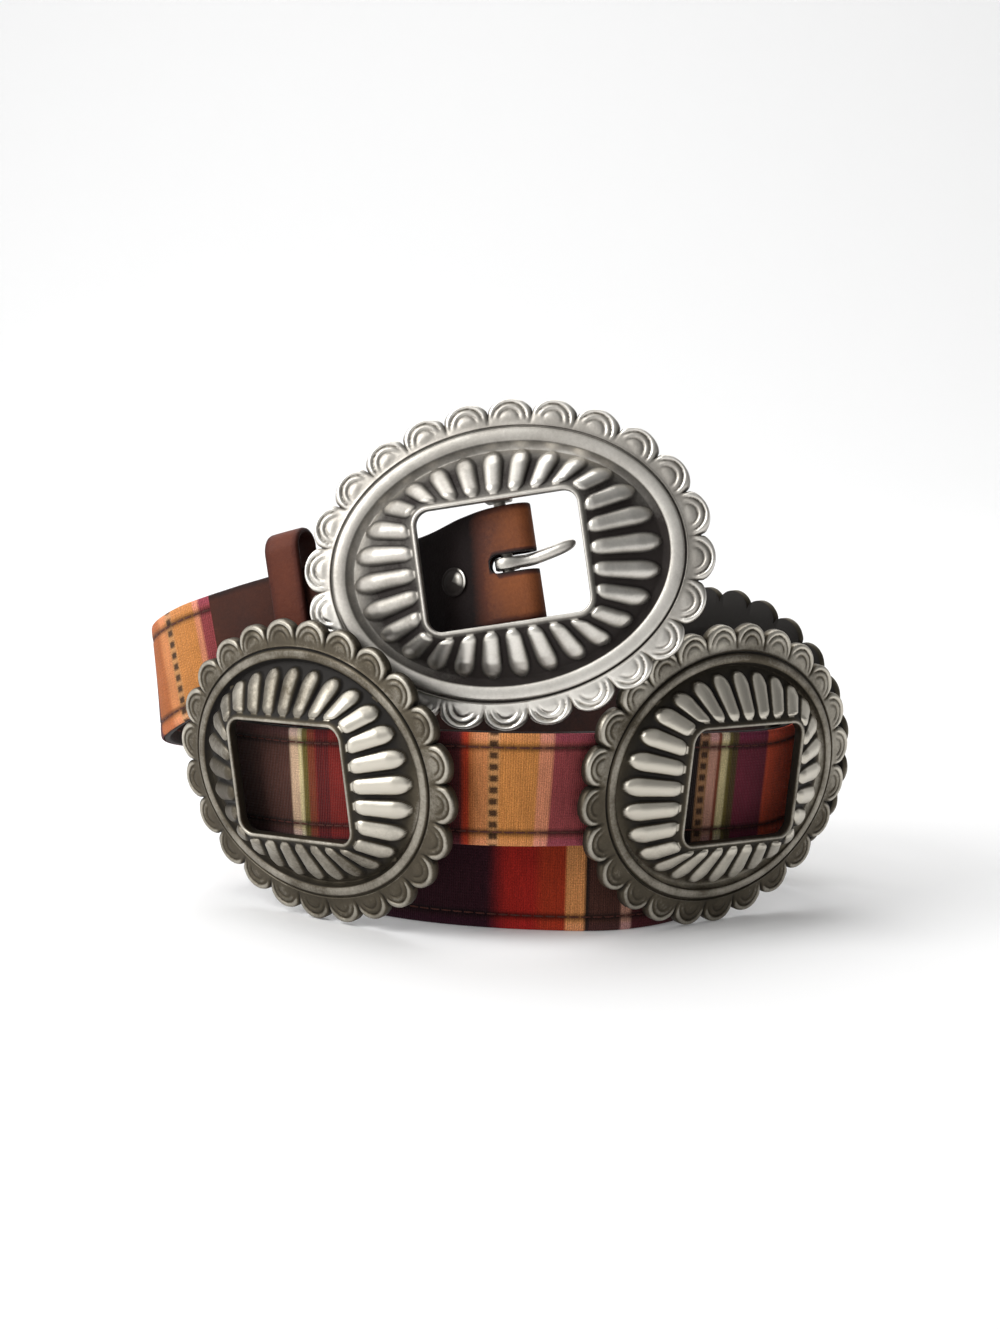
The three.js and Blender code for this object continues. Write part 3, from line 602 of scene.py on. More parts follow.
def scallop_rows(size, turns, wear_and_painted_shading, row):
    """Scallops: a fine bead along the edge, two cut arcs inside it and a low dome between them."""
    scallop = turns * SCALLOPS % 1

    def chord(inset, middle, half_step):
        return inset_oval(size, inset, middle + half_step) - inset_oval(size, inset, middle - half_step)

    ahead = chord(SCALLOP_DEPTH, turns, 0.5 / len(turns))
    outward = unit(np.column_stack([ahead[:, 1], -ahead[:, 0]]))
    edge = inset_oval(size, SCALLOP_DEPTH, turns) + outward * SCALLOP_DEPTH * bulge(scallop)[:, None]
    middles = (np.floor(turns * SCALLOPS) + 0.5) / SCALLOPS
    centre = inset_oval(size, ARC_CENTRE, middles)
    radius = np.linalg.norm(chord(ARC_CENTRE, middles, 0.5 / SCALLOPS), axis=1) / 2
    reach = unit(centre)
    valley = 1 - smoothstep(np.minimum(scallop, 1 - scallop), 0.0, 0.09)
    start = inset_oval(size, SCALLOP_FOOT, turns)
    drops = {0.975: 0.1, 1.0: 0.45}
    for share in (*np.linspace(0.05, 0.95, 25), *drops):
        flat = start + (edge - start) * share
        # distance from the arcs' centre and how far outwards, in radii of the outer arc
        off = flat - centre
        r = np.linalg.norm(off, axis=1) / radius
        side = (off * reach).sum(1) / radius
        front = smoothstep(side, -0.1, 0.3)
        bead = bulge((r - 0.79) / 0.27) * front
        band = bulge((r - 0.49) / 0.29) * front
        disc = np.sqrt(np.clip(1 - (r / 0.43) ** 2, 0, 1)) * smoothstep(side, -0.15, 0.2)
        outer_cut = np.exp(-(((r - 0.76) / 0.05) ** 2)) * front
        cut = outer_cut + 0.75 * np.exp(-(((r - 0.46) / 0.05) ** 2)) * front
        arcs = 0.6 * bead + 0.42 * band + 0.35 * disc - 0.45 * cut
        height = 1.75 - 1.3 * share + size["crisp"] * arcs - 0.4 * valley * share
        # rim polish and the cut's darkness follow the plate's painted shade and highlights
        shine = 0.36 * bead + 0.1 * band + 0.06 * disc + (0.2 * wear_and_painted_shading["clean"] - 0.4) * cut
        polish = 0.6 * wear_and_painted_shading["rim"] + size["crisp"] * shine - 0.45 * valley * share
        row(flat, RIM - 0.1 + height - drops.get(share, 0), np.clip(polish, 0, 1))
    row(edge, 0.35, 0.4)
    row(edge - outward * 0.3, 0.0, 0.0)


def plate_rows(size, count, marks):
    """Rows of points from the window's front edge to the back, with how polished each one is."""
    turns = np.arange(count) / count
    # painted shade round the plate, deepest at its "dark" place, and what the painted shading leaves of the
    # petals', cove's and rim's polish
    place, depth = marks["dark"]
    clean = 1 - depth * smoothstep(np.cos(2 * np.pi * (turns - place)), -0.45, 0.75)
    wear_and_painted_shading = {part: polish_after_painted_shading(turns, marks.get(part, ())) for part in ("petals", "cove", "rim")}
    wear_and_painted_shading.update(clean=clean, cove=wear_and_painted_shading["cove"] * clean)
    rows = []

    def row(flat, height, polish):
        height = np.broadcast_to(height, (count,))
        rows.append((np.column_stack([flat, height]), np.broadcast_to(polish, (count,))))

    # lip: a rounded bead round the window
    for across, height, polish in LIP_PROFILE:
        row(window(size, across, turns), DOME + height, polish)
    petal_rows(size, turns, wear_and_painted_shading, row)
    ring_rows(size, turns, wear_and_painted_shading, row)
    scallop_rows(size, turns, wear_and_painted_shading, row)
    # back, at no polish: painted shade where the backs lie in the coil's shadow
    row(inset_oval(size, BACK_RIM, turns), 0.0, 0.0)
    rim_in = inset_oval(size, BACK_INSET, turns)
    hollow = window(size, LIP_REACH, turns)
    for share in (0, 0.06, 0.3, 0.6, 0.85, 1.0):
        row(rim_in + (hollow - rim_in) * share, (LIP_FOOT - WALL) * share, 0.0)
    row(window(size, 0.3, turns), LIP_FOOT - WALL, 0.1)
    row(window(size, 0.0, turns), LIP_FOOT - WALL + 0.3, 0.2)
    return rows


def modify(thing, kind, **settings):
    """Adds a modifier with those settings and applies it."""
    modifier = thing.modifiers.new("change", kind)
    for key, value in settings.items():
        setattr(modifier, key, value)
    bpy.context.view_layer.objects.active = thing
    with bpy.context.temp_override(object=thing, active_object=thing):
        bpy.ops.object.modifier_apply(modifier=modifier.name)
    thing.data.shade_smooth()
    thing.data.set_sharp_from_angle(angle=math.radians(50))


def cut_away(thing, cutter):
    """Cuts a solid out of a piece and takes the cutter away."""
    modify(thing, "BOOLEAN", operation="DIFFERENCE", object=cutter, solver="EXACT")
    bpy.data.objects.remove(cutter)


BOX_FACES = [(0, 1, 3, 2), (4, 6, 7, 5), (0, 4, 5, 1), (2, 3, 7, 6), (0, 2, 6, 4), (1, 5, 7, 3)]


def bevelled_box(name, low, high, width, matrix):
    corners = [matrix @ Vector(corner) for corner in itertools.product(*zip(low, high))]
    thing = new_mesh(name, corners, BOX_FACES)
    modify(thing, "BEVEL", width=width * MM, segments=3)
    return thing


def join(things, name):
    """Joins pieces into the first one."""
    first = things[0]
    with bpy.context.temp_override(
        active_object=first, object=first, selected_objects=things, selected_editable_objects=things,
    ):
        bpy.ops.object.join()
    first.name = name
    first.data.name = name
    return first


def settle(thing, material, nodes, body="root"):
    """Gives a piece its material, hides the solids it stands for and attaches it to what it rides on."""
    thing.data.materials.append(material)
    if nodes:
        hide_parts(*nodes)
    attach(thing, body)


def plate_place(name):
    """Plate frame to the part's frame."""
    return Matrix.Translation(-COIL_CENTRE) @ plate_matrix(name)


def plate(name, size, where, extras):
    """A cast plate with its bar or loops, which extras makes."""
    rows = plate_rows(size, SCALLOPS * PETALS, PAINTED_SHADING[where])
    matrix = plate_place(where)
    turn = np.array(matrix)
    rings = np.array([points for points, _ in rows]) @ turn[:3, :3].T + turn[:3, 3]
    thing = rings_mesh(name, rings, smooth=55)
    point_values(thing, "relief", [polish for _, polish in rows])
    parts = extras(name, matrix)
    for part in parts:
        even_relief(part, 0.5)
    return join([thing] + parts, name)


def back_loops(name, matrix):
    """Two loops behind a concho, in which the strap lies."""
    parts = []
    low = LOOP["top"] - LOOP["thick"]
    half_w = LOOP["width"] / 2
    for side in (-1, 1):
        x = side * LOOP["offset"]
        parts.append(bevelled_box(
            name + "_loop", (x - half_w, -LOOP["half"], low),
            (x + half_w, LOOP["half"], LOOP["top"]), 0.6, matrix))
        for end in (-1, 1):
            ys = sorted((end * LOOP["half"], end * (LOOP["half"] - LOOP["post"])))
            parts.append(bevelled_box(
                name + "_post", (x - half_w + 0.05, ys[0] + 0.05, low + 0.05),
                (x + half_w - 0.05, ys[1] - 0.05, LOOP_POST_TOP), 0.6, matrix))
    return parts


def turned(name, profile, matrix, sides=48, smooth=40, closed=False):
    """A turned piece about its local z, from (radius, height) pairs, with capped ends unless closed."""
    angles = np.linspace(0, 2 * math.pi, sides, endpoint=False)
    rings = [[matrix @ Vector((radius * math.cos(a), radius * math.sin(a), height)) for a in angles]
             for radius, height in profile]
    return rings_mesh(name, rings, closed, smooth)


TO_BAR = Matrix.Translation((0, 0, BAR["height"]))
ALONG_BAR = TO_BAR @ Matrix.Rotation(math.radians(-90), 4, "X")


def buckle_bar(name, matrix):
    """The buckle's bar and the posts at its ends."""
    half = BAR["half"]
    profile = [(BAR["radius"] - 0.3, -half + 0.05), (BAR["radius"], -half + 0.4),
               (BAR["radius"], half - 0.4), (BAR["radius"] - 0.3, half - 0.05)]
    parts = [turned(name + "_bar", profile, matrix @ ALONG_BAR, 32)]
    low, high = BAR["height"] - BAR["radius"], DOME - 2.2
    half_w = BAR["post_width"] / 2
    for end in (-1, 1):
        ys = sorted((end * half, end * (half - BAR["post_depth"])))
        parts.append(bevelled_box(name + "_post", (-half_w, ys[0], low), (half_w, ys[1], high), 0.8, matrix))
    return parts


# The cloth's dyes, as 8-bit display colours; two are lighter copies of rust and gold, painted light for
# stripes that lie in shade
DYES = {
    "gold": (196, 129, 67), "sand": (224, 152, 92), "tan": (198, 128, 78), "amber": (164, 92, 46),
    "pink": (208, 134, 100), "wine": (142, 64, 66), "maroon": (76, 28, 30), "rust": (166, 54, 28),
    "brick": (204, 80, 48), "red": (118, 33, 28), "claret": (78, 22, 24), "crimson": (166, 36, 28),
    "plum": (50, 18, 28), "grape": (108, 38, 54), "olive": (98, 86, 38), "moss": (78, 62, 34),
    "cream": (206, 190, 142), "blush": (202, 170, 140), "rose": (192, 142, 122), "brown": (76, 46, 38),
    "umber": (120, 56, 34), "black": (34, 24, 22), "dots": (190, 136, 84), "dark_dots": (156, 114, 78),
}
# Where each stripe starts along the strap from the buckle inwards, in millimetres, and its dye
# the lighter copy of rust at 526 and the lighter copy of gold at 1080.8 are painted light
STRIPES = [
    (84, "brown"), (118, "wine"), (144, "pink"), (146.5, "gold"), (158.6, "dots"), (162.4, "tan"),
    (168, "amber"), (180, "maroon"), (206, "red"), (220, "umber"), (224, "olive"), (228, "cream"),
    (232, "brown"), (262, "wine"), (282, "crimson"), (294, "rust"), (304, "gold"), (316, "dots"),
    (320, "tan"), (328, "plum"), (354, "rust"), (370, "grape"), (384, "olive"), (388, "cream"),
    (392, "umber"), (394, "rose"), (398, "dark_dots"), (403, "black"), (416, "gold"), (430, "pink"),
    (436, "wine"), (456, "maroon"), (482, "red"), (496, "plum"), (526, "brick"), (544.5, "grape"),
    (560, "moss"), (563, "olive"), (564.8, "cream"), (568.3, "umber"), (570, "rose"),
    (574, "dark_dots"), (578.6, "black"), (592, "brown"), (610, "maroon"), (624, "wine"), (640, "pink"),
    (645, "gold"), (657.5, "dots"), (661.2, "tan"), (666, "amber"), (667.6, "rust"), (670, "maroon"),
    (700, "wine"), (712, "red"), (729, "umber"), (732.4, "olive"), (735, "cream"), (736.8, "blush"),
    (741, "brown"), (776, "plum"), (800, "crimson"), (812, "rust"), (822, "gold"), (834, "dots"),
    (838, "tan"), (846, "maroon"), (874, "grape"), (890, "olive"), (894, "cream"), (898, "umber"),
    (900, "rose"), (904, "brown"), (936, "red"), (952, "plum"), (982, "rust"), (996, "wine"),
    (1016, "cream"), (1020, "brown"), (1046, "maroon"), (1064, "rose"), (1068, "brown"),
    (1079.4, "black"), (1080.8, "sand"), (1087.4, "rust"), (1097, "crimson"), (1111, "plum"),
]
# Fine dark lines in the red
STRIPES += [(722.6 + 1.2 * k, "claret") for k in range(5)]
STRIPES += [(723.3 + 1.2 * k, "red") for k in range(5)]
STRIPES.sort()
# Millimetres over which a dye fades in, where that is soft
FADES = {"plum": 9.0, "crimson": 5.0, "amber": 4.0, "maroon": 2.4, "claret": 0.5, "umber": 1.6}
FADE = 1.3


def stripe_dyes(lengths):
    """Linear colour at each length, faded across the stripes' edges."""
    palette = {dye: np.array(linear(*rgb)) for dye, rgb in DYES.items()}
    colour = np.tile(palette[STRIPES[0][1]], (len(lengths), 1))
    for start, dye in STRIPES[1:]:
        fade = FADES.get(dye, FADE)
        share = smoothstep(lengths, start - fade / 2, start + fade / 2)[:, None]
        colour = colour * (1 - share) + palette[dye] * share
    return colour


def serape_ribbon():
    """The striped facing: rows close together at the stripes' edges, seams pressed in, rounded hems."""
    starts = np.array([start for start, _ in STRIPES])
    fine = np.arange(STRAP_START, STRAP_END, 1.3)
    near = np.min(np.abs(fine[:, None] - starts[None, :]), axis=1)
    edges = (starts[:, None] + np.array([-0.9, -0.45, 0, 0.45, 0.9])[None, :]).ravel()
    edges = edges[(edges > STRAP_START + 0.3) & (edges < STRAP_END - 0.3)]
    lengths = np.concatenate([fine[near > 1.0], edges, [STRAP_START, STRAP_END]])
    lengths = np.unique(np.round(lengths, 3))
    lengths = lengths[np.concatenate([[True], np.diff(lengths) > 0.15])]
    half = STRAP_WIDTH / 2
    hem = np.array([0.0, 0.12, 0.35, 0.8, 1.6, 2.6, 3.6])
    seam_ups = SEAM_AT + np.array([-1.4, -0.9, -0.5, 0.0, 0.5, 0.9])
    side = np.concatenate([seam_ups, (half - hem)[::-1]])
    ups = np.concatenate([-side[::-1], np.linspace(-12.6, 12.6, 12), side])
    distance = half - np.abs(ups)
    groove = 0.34 * np.exp(-(((np.abs(ups) - SEAM_AT) / 0.62) ** 2))
    outs = SERAPE[1] - groove - 0.55 * np.exp(-distance / 0.4)
    front = on_strap(lengths[:, None], outs[None, :], ups[None, :])
    back_ups = np.array([[half - 0.02, -half + 0.02]])
    back = on_strap(lengths[:, None], np.full((1, 2), SERAPE[0]), back_ups)
    rings = np.concatenate([front, back], axis=1)
    thing = rings_mesh("serape_facing", rings, closed=False, smooth=50, flip=True)
    ups = np.concatenate([ups, [half, -half]])
    across = len(ups)
    places = np.stack([*np.meshgrid(lengths, ups, indexing="ij"), np.zeros(rings.shape[:2])], -1)
    point_values(thing, "strap", places, "FLOAT_VECTOR")
    colour = np.column_stack([stripe_dyes(lengths), np.ones(len(lengths))])
    point_values(thing, "dye", np.repeat(colour, across, axis=0), "FLOAT_COLOR")
    ends = np.append(starts[1:], STRAP_END)
    middles = [(start + end) / 2 for (start, dye), end in zip(STRIPES, ends) if dye.endswith("dots")]
    off = lengths[:, None] - np.array(middles)[None, :]
    nearest = off[np.arange(len(lengths)), np.abs(off).argmin(axis=1)]
    point_values(thing, "from_dots", np.repeat(np.clip(nearest, -9, 9), across))
    return thing


def ribbon(name, lengths, low, high, half, rounding, tone, half_at=None):
    """A leather ribbon with rounded edges; relief marks its burnished edges."""
    soft = high - rounding * 0.3
    face = [high - rounding, soft, high] + [high] * 7 + [high, soft, high - rounding]
    back = [low + (high - f) for f in face]
    ring_out = np.array(face + back[::-1])
    rings = []
    wear_and_painted_shading = []
    for length in lengths:
        h = half if half_at is None else half_at(length)
        ups = [-h, -h + rounding * 0.3, -h + rounding, *np.linspace(-h + rounding + 2, h - rounding - 2, 7),
               h - rounding, h - rounding * 0.3, h]
        ups = np.array(ups + ups[::-1])
        rings.append(on_strap(length, ring_out, ups))
        wear_and_painted_shading.append(np.where(np.abs(ups) > h - 1.5, 0.4 * tone, tone))
    thing = rings_mesh(name, rings, closed=False, flip=True)
    point_values(thing, "relief", wear_and_painted_shading)
    return thing


def stitches(name, rows, pitch, length, radius):
    """Small raised stitches; each row is (start, end, out, up, side)."""
    stitch = []
    for along, girth in ((-0.5, 0.35), (-0.38, 0.9), (0, 1.0), (0.38, 0.9), (0.5, 0.35)):
        sunk = -0.55 * (abs(along) / 0.5) ** 3
        for angle in np.linspace(0, 2 * math.pi, 6, endpoint=False):
            raised = sunk + girth * 0.8 * math.sin(angle)
            stitch.append((along * length, raised * radius, girth * radius * math.cos(angle)))
    stitch = np.array(stitch)
    number = np.arange(len(stitch)).reshape(-1, 6)
    points = []
    faces = []
    for start, end, out, up, side in rows:
        for at in np.arange(start + pitch / 2, end - pitch / 2, pitch):
            faces += ring_faces(number + len(points), closed=False, flip=True)
            points.extend(stitch * (1, side, 1) + (at, out, up))
    return new_mesh(name, on_strap(*np.array(points).T), faces, 80)


def tab_line():
    """Length and offset along the tab's middle, over the strap, round the bar and back."""
    def spread(length):
        near_bar = 1 - smoothstep(length, BAR_FROM_START + 2, BAR_FROM_START + 15)
        over = smoothstep(length, STRAP_START - 14, STRAP_START - 3)
        return TAB_CLOSED + (FOLD_SPREAD - TAB_CLOSED) * near_bar + (TAB_OVER_STRAP - TAB_CLOSED) * over

    centre = BAR_FROM_START - FOLD_FROM_BAR
    outer = [(x, float(spread(x))) for x in np.linspace(TAB_OUTER_END, centre, 84)]
    fold = [(centre - FOLD_SPREAD * math.sin(a), FOLD_SPREAD * math.cos(a))
            for a in np.linspace(0, math.pi, 18)[1:-1]]
    inner = [(x, -float(spread(min(x, STRAP_START - 14))))
             for x in np.linspace(centre, TAB_INNER_END, 50)]
    return np.array(outer + fold + inner)


def tab_piece():
    """The folded tab, with painted shadow where it lies behind the buckle's window, and lighter at its fold.
    """
    line = tab_line()
    step = np.gradient(line, axis=0)
    across = unit(np.column_stack([step[:, 1], -step[:, 0]])) * TAB_THICKNESS / 2
    half = TAB_WIDTH / 2
    ups = np.array([-half, -half + 0.25, -half + 0.8, *np.linspace(-half + 2.5, half - 2.5, 15),
                    half - 0.8, half - 0.25, half])
    full = np.array([0.35, 0.8, *[1] * 17, 0.8, 0.35])
    rings = []
    wear_and_painted_shading = []
    for (length, out), (dx, dy) in zip(line, across):
        face = on_strap(length + dx * full, out + dy * full, ups)
        under = on_strap(length - dx * full, out - dy * full, ups)
        rings.append(np.concatenate([face, under[::-1]]))
        # shaded: painted shadow of the buckle plate on the tab, from 20 to 82 mm along it
        shaded = float(smoothstep(length, 20, 30) * (1 - smoothstep(length, 62, 82)))
        fold_lightening_and_painted_shadow = math.exp(-((length - 9) / 12) ** 2) - 1.2 * shaded
        edge = 0.25 * (np.abs(ups) > half - 1.6)
        row = 0.36 + 0.45 * fold_lightening_and_painted_shadow - edge
        wear_and_painted_shading.append(np.concatenate([row, row[::-1]]))
    thing = rings_mesh("tab", rings, closed=False, smooth=50, flip=True)
    point_values(thing, "relief", wear_and_painted_shading)
    cut_away(thing, slot_cutter())
    return thing


def slot_cutter():
    """A long hole with round ends for the prong, through both layers of the fold."""
    matrix = plate_place("buckle")
    radius = SLOT_WIDTH / 2
    left = -SLOT_REACH + radius
    right = BAR_FROM_START + 4
    outline = [(left + radius * math.cos(a), radius * math.sin(a))
               for a in np.linspace(math.pi / 2, 1.5 * math.pi, 13)]
    outline += [(right, -radius), (right, radius)]
    rings = [[matrix @ Vector((u, v, n)) for u, v in outline] for n in (-12, 18)]
    return rings_mesh("slot_cutter", rings, closed=False)


def keeper_piece():
    """The leather loop round the tab: an arched top, rounded lower corners and burnished edges."""
    front, back, bottom, top = KEEPER_INNER.values()
    radius, middle = (front - back) / 2, (front + back) / 2

    def loop(grow):
        wide = radius + grow
        low = bottom - grow + KEEPER_CORNER
        arch = [(middle + wide * math.cos(a), top - radius + wide * math.sin(a))
                for a in np.linspace(0, math.pi, 21)]
        left = [(middle - wide + KEEPER_CORNER * (1 - math.cos(a)), low - KEEPER_CORNER * math.sin(a))
                for a in np.linspace(0, math.pi / 2, 6)]
        right = [(2 * middle - x, y) for x, y in left[::-1]]
        down = [(middle - wide, y) for y in np.linspace(top - radius, low, 12)[1:-1]]
        up = [(middle + wide, y) for y in np.linspace(low, top - radius, 12)[1:-1]]
        return np.array(arch + down + left + right + up)

    outer, inner = loop(KEEPER_WALL), loop(0)
    start = KEEPER_AT - KEEPER_WIDTH / 2
    rings = []
    wear_and_painted_shading = []

    def ring(along, share, polish):
        loop_points = inner + (outer - inner) * share
        rings.append(on_strap(start + KEEPER_WIDTH * along, loop_points[:, 0], loop_points[:, 1]))
        wear_and_painted_shading.append(polish)

    # across the loop's width: how full its wall is there and how polished
    steps = [(0, 0.45, 0.1), (0.03, 0.85, 0.2), (0.08, 1.0, 0.45), (0.2, 1.02, 0.62), (0.5, 1.03, 0.66),
             (0.8, 1.02, 0.62), (0.92, 1.0, 0.45), (0.97, 0.85, 0.2), (1, 0.45, 0.1)]
    for along, full, polish in steps:
        ring(along, full, polish)
    for along, full, _ in steps[::-1]:
        ring(along, (1 - full) * 0.5, 0.2)
    thing = rings_mesh("keeper_loop", rings, smooth=50)
    point_values(thing, "relief", np.repeat(wear_and_painted_shading, len(outer)))
    return thing


def strap_matrix(length, out, up, side):
    """Frame whose z points off the strap's face (or its back, if side is -1)."""
    foot = Vector(on_strap(length, out, up))
    normal = (Vector(on_strap(length, out + side, up)) - foot).normalized()
    upward = (Vector(on_strap(length, out, up + 1)) - foot).normalized()
    across = upward.cross(normal).normalized()
    matrix = Matrix((across, normal.cross(across), normal)).transposed().to_4x4()
    return Matrix.Translation(foot) @ matrix


def stud_piece():
    """The press stud: a cap in front with a painted highlight on one side and painted shade on the rest, and
    a base behind.
    """
    length = BAR_FROM_START + STUD_FROM_BAR
    cap = [(4.7, 0.0), (5.0, 0.15), (5.0, 0.4), (4.7, 0.62), (4.2, 0.66), (3.95, 0.6), (3.7, 0.72),
           (3.2, 1.08), (2.4, 1.36), (1.3, 1.54), (0.25, 1.6)]
    foot = TAB_CLOSED + TAB_THICKNESS / 2
    thing = turned("snap_cap", cap, strap_matrix(length, foot + 0.4, -1, 1))
    # painted highlight on one side of the cap; the rest of it gets painted shade
    side = smoothstep(np.cos(np.linspace(0, 2 * np.pi, 48, endpoint=False) - 0.3), 0.55, 0.95)
    relief = np.outer([0.4, 0.6, 0.9, 0.95, 0.5, 0.25, 0.6, 0.8, 0.6, 0.3, 0.2], side)
    point_values(thing, "relief", relief)
    settle(thing, BUCKLE_SILVER, ["snap_front"])
    base = [(4.7, 0.0), (5.0, 0.12), (5.0, 0.5), (4.6, 0.66), (3.2, 0.72), (2.7, 1.05), (1.6, 1.1),
            (0.25, 0.95)]
    thing = turned("snap_base", base, strap_matrix(length, -foot - 1.2, -1, -1))
    even_relief(thing, 0.6)
    settle(thing, BUCKLE_SILVER, ["snap_back"])


def prong_piece():
    """The prong: an eye round the bar and a shank, flat over the eye, thicker and rising to a blunt tip."""
    matrix = plate_place("buckle")
    eye_profile = [(2.45, -1.8), (2.65, -2.0), (4.0, -2.0), (4.3, -1.7),
                   (4.3, 1.7), (4.0, 2.0), (2.65, 2.0), (2.45, 1.8)]
    ring = turned("prong_eye", eye_profile, matrix @ ALONG_BAR, 40, 50, closed=True)
    # along the shank: place from the bar in the plate's frame, half width, half thickness
    sections = [
        (-4.0, 0.0, 2.3, 0.9, 0.35), (-3.3, 0.0, 3.0, 1.6, 0.6), (-1.9, 0.0, 3.6, 2.0, 0.75),
        (0.3, 0.0, 3.85, 2.1, 0.75), (2.4, 0.0, 3.3, 2.15, 0.95), (4.3, 0.0, 2.2, 2.15, 1.3),
        (6.5, 0.0, 1.3, 2.15, 1.7), (9.5, 0.25, 1.5, 2.15, 1.8), (12.5, 0.8, 1.95, 2.15, 1.75),
        (15.5, 1.4, 2.4, 2.15, 1.75), (18.2, 2.0, 2.58, 2.1, 1.65), (20.5, 2.6, 2.6, 2.05, 1.55),
        (22.4, 3.1, 2.42, 1.8, 1.3), (23.6, 3.4, 2.2, 1.35, 1.0), (24.2, 3.55, 2.08, 0.9, 0.7),
        (24.5, 3.6, 2.0, 0.4, 0.3),
    ]
    rings = []
    for u, v, n, half_v, half_n in sections:
        rings.append([matrix @ TO_BAR @ Vector((u, v + half_v * math.cos(a), n + half_n * math.sin(a)))
                      for a in np.linspace(0, 2 * math.pi, 20, endpoint=False)])
    prong = join([rings_mesh("prong", rings, closed=False), ring], "prong")
    even_relief(prong, 0.72)
    settle(prong, BUCKLE_SILVER, ["buckle_prong"], "prong")


def tip_piece():
    """The plain leather tip with its punched holes and rounded end."""
    start, end, half = STRAP_END + PART_GAP, ROUTE.length - 0.5, STRAP_WIDTH / 2

    def half_at(length):
        from_round = half - min(end - length, half)
        return max(4.0, math.sqrt(max(half * half - from_round * from_round, 0)))

    lengths = np.concatenate([np.arange(start, end - 12, 2.0), np.linspace(end - 11, end, 16)])
    thing = ribbon("tip", lengths, -TIP_THICKNESS / 2, TIP_THICKNESS / 2, half, 0.6, 0.42, half_at)
    for k in (1, 2):
        hole_matrix = strap_matrix(start + k * TIP_HOLE_PITCH, 0, 0, 1)
        cut_away(thing, turned("punch", [(TIP_HOLE_RADIUS, -8), (TIP_HOLE_RADIUS, 8)], hole_matrix, 32))
    settle(thing, BROWN_LEATHER, ["tip_leather"])


# The pieces, in the order of the strap
settle(serape_ribbon(), SERAPE_CLOTH, ["strap_serape"])
strap_lengths = np.append(np.arange(STRAP_START, STRAP_END, 2.5), STRAP_END)
# The backing's low tone, 0.12, darkens its brown leather nearly to black: painted shade for the coil's
# shadowed inside
backing = ribbon("strap_backing", strap_lengths, LEATHER[0], LEATHER[1], STRAP_WIDTH / 2, 0.5, 0.12)
settle(backing, BROWN_LEATHER, ["strap_leather"])
seam_ends = (STRAP_START + 2, STRAP_END - 2)
seam_rows = [(*seam_ends, SERAPE[1] - 0.3, up, 1) for up in (-SEAM_AT, SEAM_AT)]
seam_rows += [(*seam_ends, LEATHER[0], up, -1) for up in (-SEAM_AT, SEAM_AT)]
settle(stitches("seams", seam_rows, **STITCH), BROWN_THREAD, [])
settle(tab_piece(), BROWN_LEATHER, ["buckle_tab"])
settle(keeper_piece(), TAN_LEATHER, ["keeper"])
stud_piece()
prong_piece()
tip_piece()
settle(plate("buckle", BUCKLE, "buckle", buckle_bar), BUCKLE_SILVER, ["buckle_plate"])
for where in ("left", "right", "rear"):
    settle(plate("concho_" + where + "_cast", CONCHO, where, back_loops), CONCHO_SILVER, ["concho_" + where])


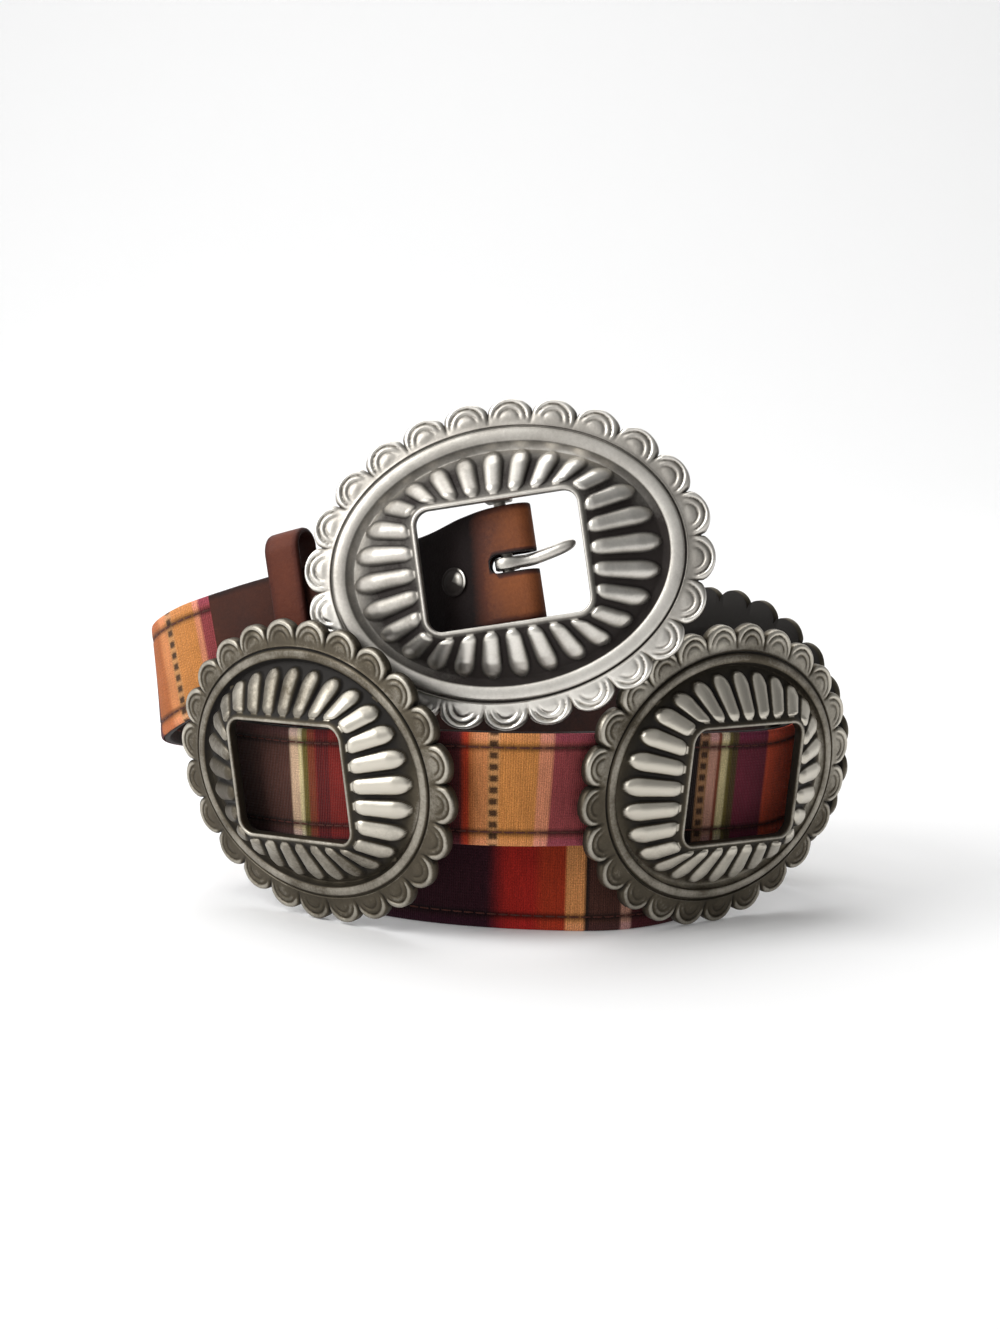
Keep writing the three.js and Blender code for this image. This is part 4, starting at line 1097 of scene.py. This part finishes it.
def studio():
    """A pale paper floor that curves up behind the belt, in metres."""
    radius, back, front, top, half = 1.2, 1.6, -4.0, 5.0, 5.0
    profile = [(front, 0.0), (back, 0.0)]
    profile += [(back + radius * math.sin(a), radius * (1 - math.cos(a)))
                for a in np.linspace(0, math.pi / 2, 24)[1:]]
    profile += [(back + radius, top)]
    points = np.array([(x, y, z) for y, z in profile for x in (-half, half)])
    faces = [(2 * k, 2 * k + 1, 2 * k + 3, 2 * k + 2) for k in range(len(profile) - 1)]
    floor = new_mesh("floor", points / MM, faces)
    s = new_look("floor_paper")
    floor.data.materials.append(s.finish({
        "Base Color": (0.85, 0.85, 0.85, 1), "Roughness": 0.85, "Specular IOR Level": 0.1,
        "Emission Color": (1, 1, 1, 1), "Emission Strength": 0.12,
    }))


def area_light(name, at, aim, size, power):
    """A soft rectangular light, sizes in metres and power in watts."""
    light = bpy.data.lights.new(name, "AREA")
    light.shape = "RECTANGLE"
    light.size, light.size_y = size
    light.energy = power
    thing = new_object(name, light)
    thing.location = at
    thing.rotation_euler = (Vector(aim) - Vector(at)).to_track_quat("-Z", "Y").to_euler()


def surroundings():
    """A white room, darker to the right."""
    s = Shader(bpy.data.worlds.new("studio"))
    place = s.add("TexCoord").outputs["Generated"]
    side = s.add("SeparateXYZ", {"Vector": place}).outputs["X"]
    spread = {"Value": side, "From Min": -0.6, "From Max": 0.7, "To Min": 0.68, "To Max": 0.2}
    strength = s.add("MapRange", spread).outputs["Result"]
    light = s.add("Background", {"Color": (1, 1, 1, 1), "Strength": strength}).outputs[0]
    s.add("OutputWorld", {"Surface": light})
    bpy.context.scene.world = s.owner


def camera():
    """The photograph's view: a little downwards and rolled, from about a metre away."""
    down, roll = math.radians(8.0), math.radians(1.375)
    focal_pixels, picture_height = 3153.45, 1329
    data = bpy.data.cameras.new("camera")
    data.sensor_fit = "VERTICAL"
    data.sensor_height = 36.0
    data.lens = focal_pixels / picture_height * data.sensor_height
    data.clip_start = 0.01
    thing = new_object("camera", data)
    in_coil_frame = Vector((0, -1090.73, 245.88))
    place = (in_coil_frame - COIL_CENTRE) * MM
    turn = Matrix.Rotation(math.pi / 2 - down, 4, "X") @ Matrix.Rotation(roll, 4, "Z")
    thing.matrix_world = Matrix.Translation(place) @ turn
    bpy.context.scene.camera = thing


studio()
area_light("key", (-1.0, -0.6, 0.8), (0, 0, 0.06), (0.9, 0.9), 14)
area_light("top", (-0.3, 1.0, 1.6), (-0.1, 0.9, 0.4), (2.0, 1.6), 22)
surroundings()
camera()
bpy.context.scene.view_settings.view_transform = "Standard"
